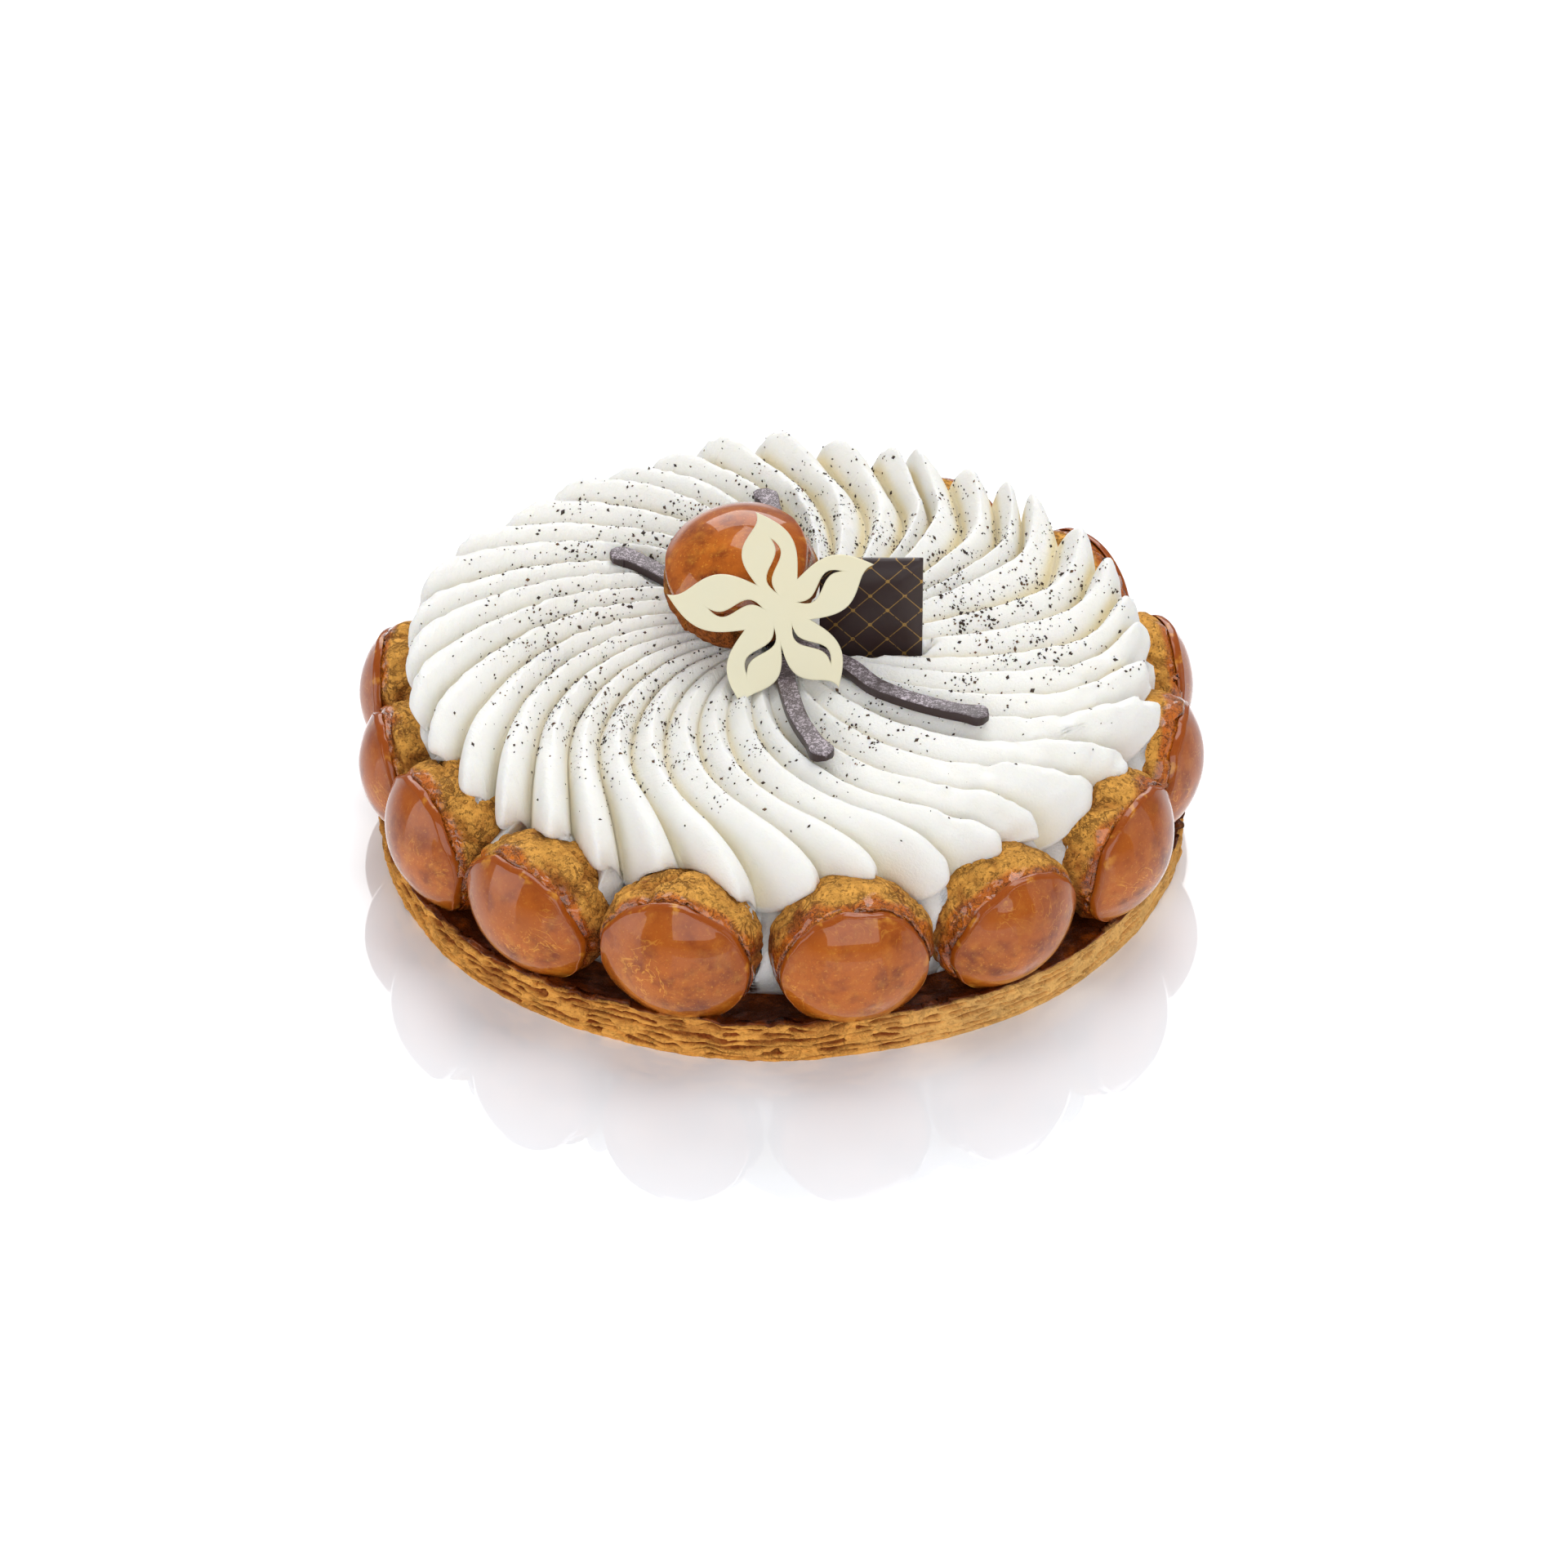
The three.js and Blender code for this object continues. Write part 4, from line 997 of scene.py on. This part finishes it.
def vanilla_specks(cream, sizes):
    """Specks as squashed octahedra: random quads of the cream, a random spot in each, and
    six corners about that spot, stretched along one direction of the skin."""
    rng = np.random.default_rng(sizes.seed)
    top = cream[:95]
    a, b, c = top[:-1, :], top[1:, :], np.roll(top, -1, axis=1)[:-1, :]
    side_a, side_b = (b - a).reshape(-1, 3), (c - a).reshape(-1, 3)
    corner = a.reshape(-1, 3)
    normal = np.cross(side_a, side_b)
    area = np.linalg.norm(normal, axis=1)
    normal = np.where(normal[:, 2:] < 0, -normal, normal) / np.maximum(area, 1e-9)[:, None]
    clumps = 0.35 + 1.3 * smooth(noise(corner, 6, 77), -0.1, 0.6)
    weight = area * speck_density(corner) * clumps * (normal[:, 2] > 0.25)
    picked = rng.choice(len(corner), sizes.specks, p=weight / weight.sum())
    u, v = rng.random((2, sizes.specks, 1))
    middle = corner[picked] + u * side_a[picked] + v * side_b[picked] + 0.02 * normal[picked]
    size = np.clip(rng.lognormal(-1.22, 0.42, sizes.specks), 0.16, 0.8)[:, None]
    spin = rng.normal(size=(sizes.specks, 3))
    n = normal[picked]
    lengthwise = np.cross(n, spin)
    lengthwise /= np.linalg.norm(lengthwise, axis=1, keepdims=True)
    sideways = np.cross(n, lengthwise)
    long = 0.75 + 0.6 * rng.random((sizes.specks, 1))
    jitter = 0.75 + 0.5 * rng.random((sizes.specks, 6, 1))
    arms = np.stack([lengthwise * long, sideways * 0.75, -lengthwise * long, -sideways * 0.75,
                     n * 0.7, -n * 0.3], axis=1) * size[:, None] * jitter
    points = (middle[:, None] + arms).reshape(-1, 3)
    faces = np.array([(0, 1, 4), (1, 2, 4), (2, 3, 4), (3, 0, 4),
                      (1, 0, 5), (2, 1, 5), (3, 2, 5), (0, 3, 5)])
    fans = (np.arange(sizes.specks)[:, None, None] * 6 + faces).reshape(-1, 3)
    return points, fans


def speck_material(tints):
    def build(tree):
        shade = grain(tree, place(tree), 260, 1)
        return {"Base Color": blend(tree, between(tree, shade, 0.5, 0.75), tints.speck,
                                    (0.14, 0.06, 0.02))}
    return new_material("Vanilla", build, Roughness=0.6)


# ---------------------------------------------------------------- pods, plaque and flower

def pod_surface(index):
    """A strip with rounded shoulders carried along the pod's route: a squared-off ellipse
    whose width swells at the two heads and closes to a round end."""
    place_, ahead, travelled = pod_route(index, 150)
    around = np.linspace(0, 2 * math.pi, 40, endpoint=False)[None, :]
    from_end = np.minimum(travelled, travelled[-1] - travelled)[:, None]
    girth = (1 + 0.12 * np.exp(-((from_end - 3) / 2) ** 2) - 0.18 * smooth(from_end, 3, 9))
    closing = np.sqrt(1 - (1 - np.clip((from_end + 0.02) / 2.6, 0, 1)) ** 2)
    up = np.array([0, 0, 1.0])
    side = np.cross(up, ahead)
    side /= np.linalg.norm(side, axis=1, keepdims=True)

    def squared(x):
        return np.sign(x) * np.abs(x) ** 0.3
    across = squared(np.cos(around)) * POD_WIDTH / 2 * girth * closing
    lift = squared(np.sin(around)) * POD_HEIGHT / 2 * (0.55 + 0.45 * closing)
    skin = place_[:, None] + across[..., None] * side[:, None] + lift[..., None] * up
    uneven = noise(skin, 7, 90 + index) * 0.18 + noise(skin, 2.2, 95 + index) * 0.05
    skin = skin + uneven[..., None] * up
    marks = {"upper": smooth(np.sin(around), 0.45, 0.70) + 0 * girth}
    return skin, marks


def pod_material(tints):
    def build(tree):
        where = place(tree)
        glitter = between(tree, grain(tree, where, 2600, 2, 0.6), 0.54, 0.66)
        film = times(tree, mark(tree, "upper"),
                     between(tree, grain(tree, where, 90, 3), 0.22, 0.60))
        grains = between(tree, grain(tree, where, 900, 3, 0.7), 0.50, 0.64)
        amount = maths(tree, "MULTIPLY_ADD", maths(tree, "MAXIMUM", glitter, grains), 0.75, 0.15)
        amount = times(tree, film, amount)
        tone = blend(tree, amount, tints.dark_chocolate, tints.dust)
        rough = maths(tree, "ADD", 0.36, times(tree, film, 0.15))
        return {"Base Color": tone, "Roughness": rough,
                "Normal": bump(tree, grain(tree, where, 800, 3), 0.3, 0.0003)}
    return new_material("Dusted chocolate", build, **{"Specular IOR Level": 0.5})


def plaque_surface():
    """A thin slab with rounded edges: a rounded square outline, drawn in from its edge by a
    half circle over the thickness and filled to the middle of each face."""
    turn = np.linspace(0, 2 * math.pi, 96, endpoint=False)
    half_width, half_height = PLAQUE["width"] / 2, (PLAQUE["top"] - PLAQUE["bottom"]) / 2

    def squared(x):
        return np.sign(x) * np.abs(x) ** 0.08
    lean = np.maximum(np.abs(np.cos(turn)), np.abs(np.sin(turn)))
    x = np.cos(turn) / lean * half_width
    z = np.sin(turn) / lean * half_height
    edge = np.linspace(-1, 1, 9)
    inset = 0.35 * (1 - np.sqrt(1 - edge ** 2))
    rows = [(0.02, -1.0), (0.5, -1.0)] + [(1 - i / half_width, e) for i, e in zip(inset, edge)]
    rows += [(0.5, 1.0), (0.02, 1.0)]
    rings = np.array([np.stack([x * s, 0 * x + e * PLAQUE["thickness"] / 2, z * s], -1)
                      for s, e in rows])
    uneven = 0.12 * noise(rings, 6, 55)
    rings[..., 1] += uneven * (np.abs(rings[..., 1]) > 0.5)
    middle = np.array([PLAQUE["x"], PLAQUE["y"], PLAQUE["bottom"] + half_height])
    return rings + middle, {}


def plaque_material(tints):
    """Dark gloss chocolate with a plain printed lattice of thin gold lines and dots."""
    def build(tree):
        turned = {"Vector": place(tree), "Rotation": (0, math.radians(45), 0)}
        where = node(tree, "ShaderNodeMapping", turned, vector_type="TEXTURE").outputs[0]
        apart = node(tree, "ShaderNodeSeparateXYZ", {0: where})
        pitch = 0.0066

        def line_distance(axis):
            cell = maths(tree, "DIVIDE", apart.outputs[axis], pitch)
            return maths(tree, "ABSOLUTE", maths(tree, "SUBTRACT", maths(tree, "FRACT", cell), 0.5))
        across, along = line_distance("X"), line_distance("Z")
        nearest = maths(tree, "MINIMUM", across, along)
        lines = between(tree, nearest, 0.028, 0.012)
        dots = maths(tree, "SQRT", maths(tree, "ADD", maths(tree, "POWER", across, 2.0),
                                         maths(tree, "POWER", along, 2.0)))
        printed = maths(tree, "MAXIMUM", times(tree, lines, 0.75),
                        between(tree, dots, 0.095, 0.075))
        worn = between(tree, grain(tree, place(tree), 1500, 2), 0.30, 0.45)
        printed = times(tree, printed, worn)
        return {"Base Color": blend(tree, printed, tints.dark_chocolate, tints.gold),
                "Metallic": times(tree, printed, 0.6),
                "Normal": bump(tree, grain(tree, place(tree), 500, 3), 0.15, 0.0003)}
    return new_material("Printed chocolate", build, Roughness=0.28)


def flower_outline(steps=26):
    """The flower's edge in its own plane: from each notch to the tip and on to the next
    notch, a straight line swollen outwards, and hollowed near the tip on the hooked side."""
    def flat(degrees, far):
        return polar(degrees, far)[:2]

    def side(start, end, hooked, to_tip):
        t = np.linspace(0, 1, steps, endpoint=False)[:, None]
        along = t if to_tip else 1 - t
        outwards = np.array([end[1] - start[1], start[0] - end[0]])
        outwards = outwards / np.linalg.norm(outwards)
        swell = PETAL_BULGE * np.sin(math.pi * along)
        if hooked:
            swell = swell - PETAL_HOOK * np.sin(math.pi * along ** 3)
        return start + (end - start) * t + outwards * swell
    parts = []
    for index, (angle, far, hook, notch, depth) in enumerate(FLOWER_PETALS):
        before = flat(*FLOWER_PETALS[index - 1][3:])
        tip, after = flat(angle, far), flat(notch, depth)
        parts += [side(before, tip, hook < 0, True), side(tip, after, hook > 0, False)]
    return np.vstack(parts)


def slit_outline(degrees, hook, steps=18):
    """An S-shaped slit along a petal, widest in the middle and shut at both ends."""
    t = np.linspace(0, 1, steps)
    along = mix(SLIT["start"], SLIT["end"], t)
    middle = hook * (SLIT["swing"] * np.sin(2 * math.pi * t) - SLIT["drift"] * t)
    half = SLIT["half"] * np.sin(math.pi * t)
    edge = np.concatenate([np.stack([along, middle - half], 1),
                           np.stack([along, middle + half], 1)[1:-1][::-1]])
    a = math.radians(degrees)
    turn = np.array([[math.cos(a), math.sin(a)], [-math.sin(a), math.cos(a)]])
    return edge @ turn


def flower_piece():
    """The flower cut from a sheet: its outline and slits as one flat filled curve with
    rounded edges, made a mesh and then tilted and set in place."""
    curve = bpy.data.curves.new("white_chocolate_flower", "CURVE")
    curve.dimensions = "2D"
    curve.fill_mode = "BOTH"
    curve.bevel_depth = 0.35 * MM
    curve.offset = -0.35 * MM
    curve.bevel_resolution = 2
    curve.extrude = (FLOWER["thickness"] / 2 - 0.35) * MM
    outlines = [flower_outline()] + [slit_outline(row[0], row[2]) for row in FLOWER_PETALS]
    for outline in outlines:
        spline = curve.splines.new("POLY")
        spline.points.add(len(outline) - 1)
        flat = np.zeros((len(outline), 4), np.float32)
        flat[:, :2] = outline * MM
        flat[:, 3] = 1
        spline.points.foreach_set("co", flat.ravel())
        spline.use_cyclic_u = True
    holder = bpy.data.objects.new("flower_curve", curve)
    bpy.context.scene.collection.objects.link(holder)
    bpy.context.view_layer.update()
    mesh = bpy.data.meshes.new_from_object(holder.evaluated_get(
        bpy.context.evaluated_depsgraph_get()))
    bpy.data.objects.remove(holder)
    points = np.empty(len(mesh.vertices) * 3)
    mesh.vertices.foreach_get("co", points)
    points = points.reshape(-1, 3) / MM
    tilt = math.radians(90 - FLOWER["face"])
    turned = np.stack([points[:, 0], points[:, 1] * math.cos(tilt) - points[:, 2] * math.sin(tilt),
                       points[:, 1] * math.sin(tilt) + points[:, 2] * math.cos(tilt)], 1)
    mesh.vertices.foreach_set("co", ((turned + np.array(FLOWER["place"])) * MM).ravel())
    mesh.update()
    piece = bpy.data.objects.new("white_chocolate_flower", mesh)
    bpy.context.scene.collection.objects.link(piece)
    return piece


def flower_material(tints):
    def build(tree):
        where = place(tree)
        cloud = grain(tree, where, 60, 2)
        tone = blend(tree, between(tree, cloud, 0.3, 0.8), tints.white_chocolate,
                     blend(tree, 0.25, tints.white_chocolate, tints.cream_shade))
        return {"Base Color": tone, "Normal": bump(tree, grain(tree, where, 500, 3), 0.12, 0.0003)}
    return new_material("White chocolate", build, Roughness=0.42, **{
        "Specular IOR Level": 0.4, "Subsurface Weight": 0.1,
        "Subsurface Radius": (1.0, 0.8, 0.5), "Subsurface Scale": 0.002})


# ---------------------------------------------------------------- the stage

CAMERA = {"place": (0.0, -1.9857, 1.3981), "tilt": 55.1, "lens": 202.5, "sensor": 36}
LIGHTS = (
    # name, place, aims at, width, height, watts
    ("top_box", (0.25, 0.40, 1.55), (0, 0, 0.05), 1.1, 0.8, 11),
    ("front_box", (0.25, -1.55, 0.85), (0, 0, 0.04), 2.0, 1.2, 17),
    ("right_card", (1.60, -0.30, 0.45), (0, 0, 0.03), 1.0, 1.1, 2.5),
    ("left_card", (-1.60, -0.50, 0.45), (0, 0, 0.03), 1.2, 1.1, 9),
    ("backdrop", (0, 2.10, 1.50), (0, 0, 0.02), 2.2, 1.6, 34),
)


def floor_material():
    return new_material("White surface", lambda tree: {}, Roughness=0.6, **{
        "Base Color": (0.88, 0.91, 0.95, 1), "Coat Weight": 1.0, "Coat Roughness": 0.02,
        "Coat IOR": 1.75, "Emission Color": (0.88, 0.92, 1.0, 1), "Emission Strength": 0.07})


def make_floor():
    x, y = np.meshgrid(np.linspace(-3000, 3000, 13), np.linspace(-3000, 3000, 13))
    points = np.stack([x, y, 0 * x], -1).reshape(-1, 3)
    row = np.arange(12)[:, None] * 13 + np.arange(12)
    quads = np.stack([row, row + 1, row + 14, row + 13], -1).reshape(-1, 4)
    floor = make_piece("floor", points, quads, np.empty((0, 3), int), sharp=True)
    floor.data.materials.append(floor_material())


def make_lights():
    for name, where, target, width, height, watts in LIGHTS:
        data = bpy.data.lights.new(name, "AREA")
        data.shape = "RECTANGLE"
        data.size, data.size_y, data.energy = width, height, watts
        light = bpy.data.objects.new(name, data)
        aim = np.array(target) - np.array(where)
        light.location = where
        flat = math.hypot(aim[0], aim[1])
        light.rotation_euler = (math.pi / 2 - math.atan2(-aim[2], flat), 0,
                                math.atan2(aim[1], aim[0]) - math.pi / 2)
        bpy.context.scene.collection.objects.link(light)


def make_world():
    world = bpy.data.worlds.new("Studio")
    world.use_nodes = True
    world.node_tree.nodes["Background"].inputs["Color"].default_value = (1, 1, 1, 1)
    world.node_tree.nodes["Background"].inputs["Strength"].default_value = 0.26
    bpy.context.scene.world = world


def make_camera():
    data = bpy.data.cameras.new("camera")
    data.lens, data.sensor_width = CAMERA["lens"], CAMERA["sensor"]
    camera = bpy.data.objects.new("camera", data)
    camera.location = CAMERA["place"]
    camera.rotation_euler = (math.radians(CAMERA["tilt"]), 0, 0)
    bpy.context.scene.collection.objects.link(camera)
    bpy.context.scene.camera = camera


# ---------------------------------------------------------------- operators

class Making:
    """What every operator does: it makes its pieces from the scene's sizes and colours."""

    def execute(self, context):
        self.make(context.scene.cake_sizes, context.scene.cake_colours)
        return {"FINISHED"}


class CAKE_OT_stage(Making, Operator):
    """Add the pale floor, the soft lights and the camera"""
    bl_idname = "cake.stage"
    bl_label = "Stage"

    def make(self, sizes, tints):
        make_floor()
        make_lights()
        make_world()
        make_camera()
        bpy.context.scene.view_settings.view_transform = "Standard"


class CAKE_OT_pastry(Making, Operator):
    """Bake the puff pastry disc with its leaves"""
    bl_idname = "cake.pastry"
    bl_label = "Puff pastry disc"

    def make(self, sizes, tints):
        piece = closed_piece("puff_pastry_disc", *pastry_surface(sizes))
        finish_piece(piece, pastry_material(tints), "puff_pastry", "pastry_base")


class CAKE_OT_choux(Making, Operator):
    """Bake the fifteen ring choux and the centre chou"""
    bl_idname = "cake.choux"
    bl_label = "Choux"

    def make(self, sizes, tints):
        crust = choux_material(tints)
        for chou in (*CHOUX, CENTRE):
            piece = closed_piece(f"baked_chou_{chou_name(chou)}", *chou_surface(chou, sizes))
            finish_piece(piece, crust, "choux_pastry", f"chou_{chou_name(chou)}")


class CAKE_OT_caramel(Making, Operator):
    """Dip every chou in caramel"""
    bl_idname = "cake.caramel"
    bl_label = "Caramel"

    def make(self, sizes, tints):
        sugar = caramel_material(tints)
        for chou in (*CHOUX, CENTRE):
            piece = closed_piece(f"set_caramel_{chou_name(chou)}", *caramel_surface(chou, sizes))
            finish_piece(piece, sugar, "caramel", f"caramel_{chou_name(chou)}")


class CAKE_OT_cream(Making, Operator):
    """Pipe the whipped cream and sprinkle it with vanilla"""
    bl_idname = "cake.cream"
    bl_label = "Whipped cream"

    def make(self, sizes, tints):
        surface = cream_surface(sizes)
        piece = closed_piece("piped_cream", *surface)
        finish_piece(piece, cream_material(tints), "whipped_cream", "cream_petals")
        points, fans = vanilla_specks(surface[0], sizes)
        specks = make_piece("vanilla_specks", points, np.empty((0, 4), int), fans, sharp=True)
        finish_piece(specks, speck_material(tints), "dark_chocolate")


class CAKE_OT_pods(Making, Operator):
    """Lay the two dusted chocolate pods"""
    bl_idname = "cake.pods"
    bl_label = "Chocolate pods"

    def make(self, sizes, tints):
        finish = pod_material(tints)
        for index, side in enumerate(("left", "right")):
            piece = closed_piece(f"dusted_pod_{side}", *pod_surface(index))
            finish_piece(piece, finish, "dark_chocolate", f"pod_{side}")


class CAKE_OT_plaque(Making, Operator):
    """Stand the printed chocolate plaque in the cream"""
    bl_idname = "cake.plaque"
    bl_label = "Chocolate plaque"

    def make(self, sizes, tints):
        piece = closed_piece("printed_plaque", *plaque_surface())
        finish_piece(piece, plaque_material(tints), "dark_chocolate", "chocolate_plaque")


class CAKE_OT_flower(Making, Operator):
    """Lean the white chocolate flower on the centre chou"""
    bl_idname = "cake.flower"
    bl_label = "White chocolate flower"

    def make(self, sizes, tints):
        finish_piece(flower_piece(), flower_material(tints), "white_chocolate", "chocolate_flower")


class CAKE_PT_panel(Panel):
    """Everything that builds the cake, and what may be changed"""
    bl_label = "Saint-honore cake"
    bl_idname = "CAKE_PT_panel"
    bl_space_type = "VIEW_3D"
    bl_region_type = "UI"
    bl_category = "Cake"

    def draw(self, context):
        for operator in OPERATORS:
            self.layout.operator(operator.bl_idname)
        for group in (context.scene.cake_sizes, context.scene.cake_colours):
            box = self.layout.box()
            for name in group.__annotations__:
                box.prop(group, name)


OPERATORS = (CAKE_OT_stage, CAKE_OT_pastry, CAKE_OT_choux, CAKE_OT_caramel, CAKE_OT_cream,
             CAKE_OT_pods, CAKE_OT_plaque, CAKE_OT_flower)
CLASSES = (CakeSizes, CakeColours, *OPERATORS, CAKE_PT_panel)


def register():
    for cls in CLASSES:
        bpy.utils.register_class(cls)
    bpy.types.Scene.cake_sizes = PointerProperty(type=CakeSizes)
    bpy.types.Scene.cake_colours = PointerProperty(type=CakeColours)


def unregister():
    del bpy.types.Scene.cake_colours
    del bpy.types.Scene.cake_sizes
    for cls in reversed(CLASSES):
        bpy.utils.unregister_class(cls)


def main():
    register()
    bpy.ops.cake.stage()
    bpy.ops.cake.pastry()
    bpy.ops.cake.choux()
    bpy.ops.cake.caramel()
    bpy.ops.cake.cream()
    bpy.ops.cake.pods()
    bpy.ops.cake.plaque()
    bpy.ops.cake.flower()


if __name__ == "__main__":
    main()
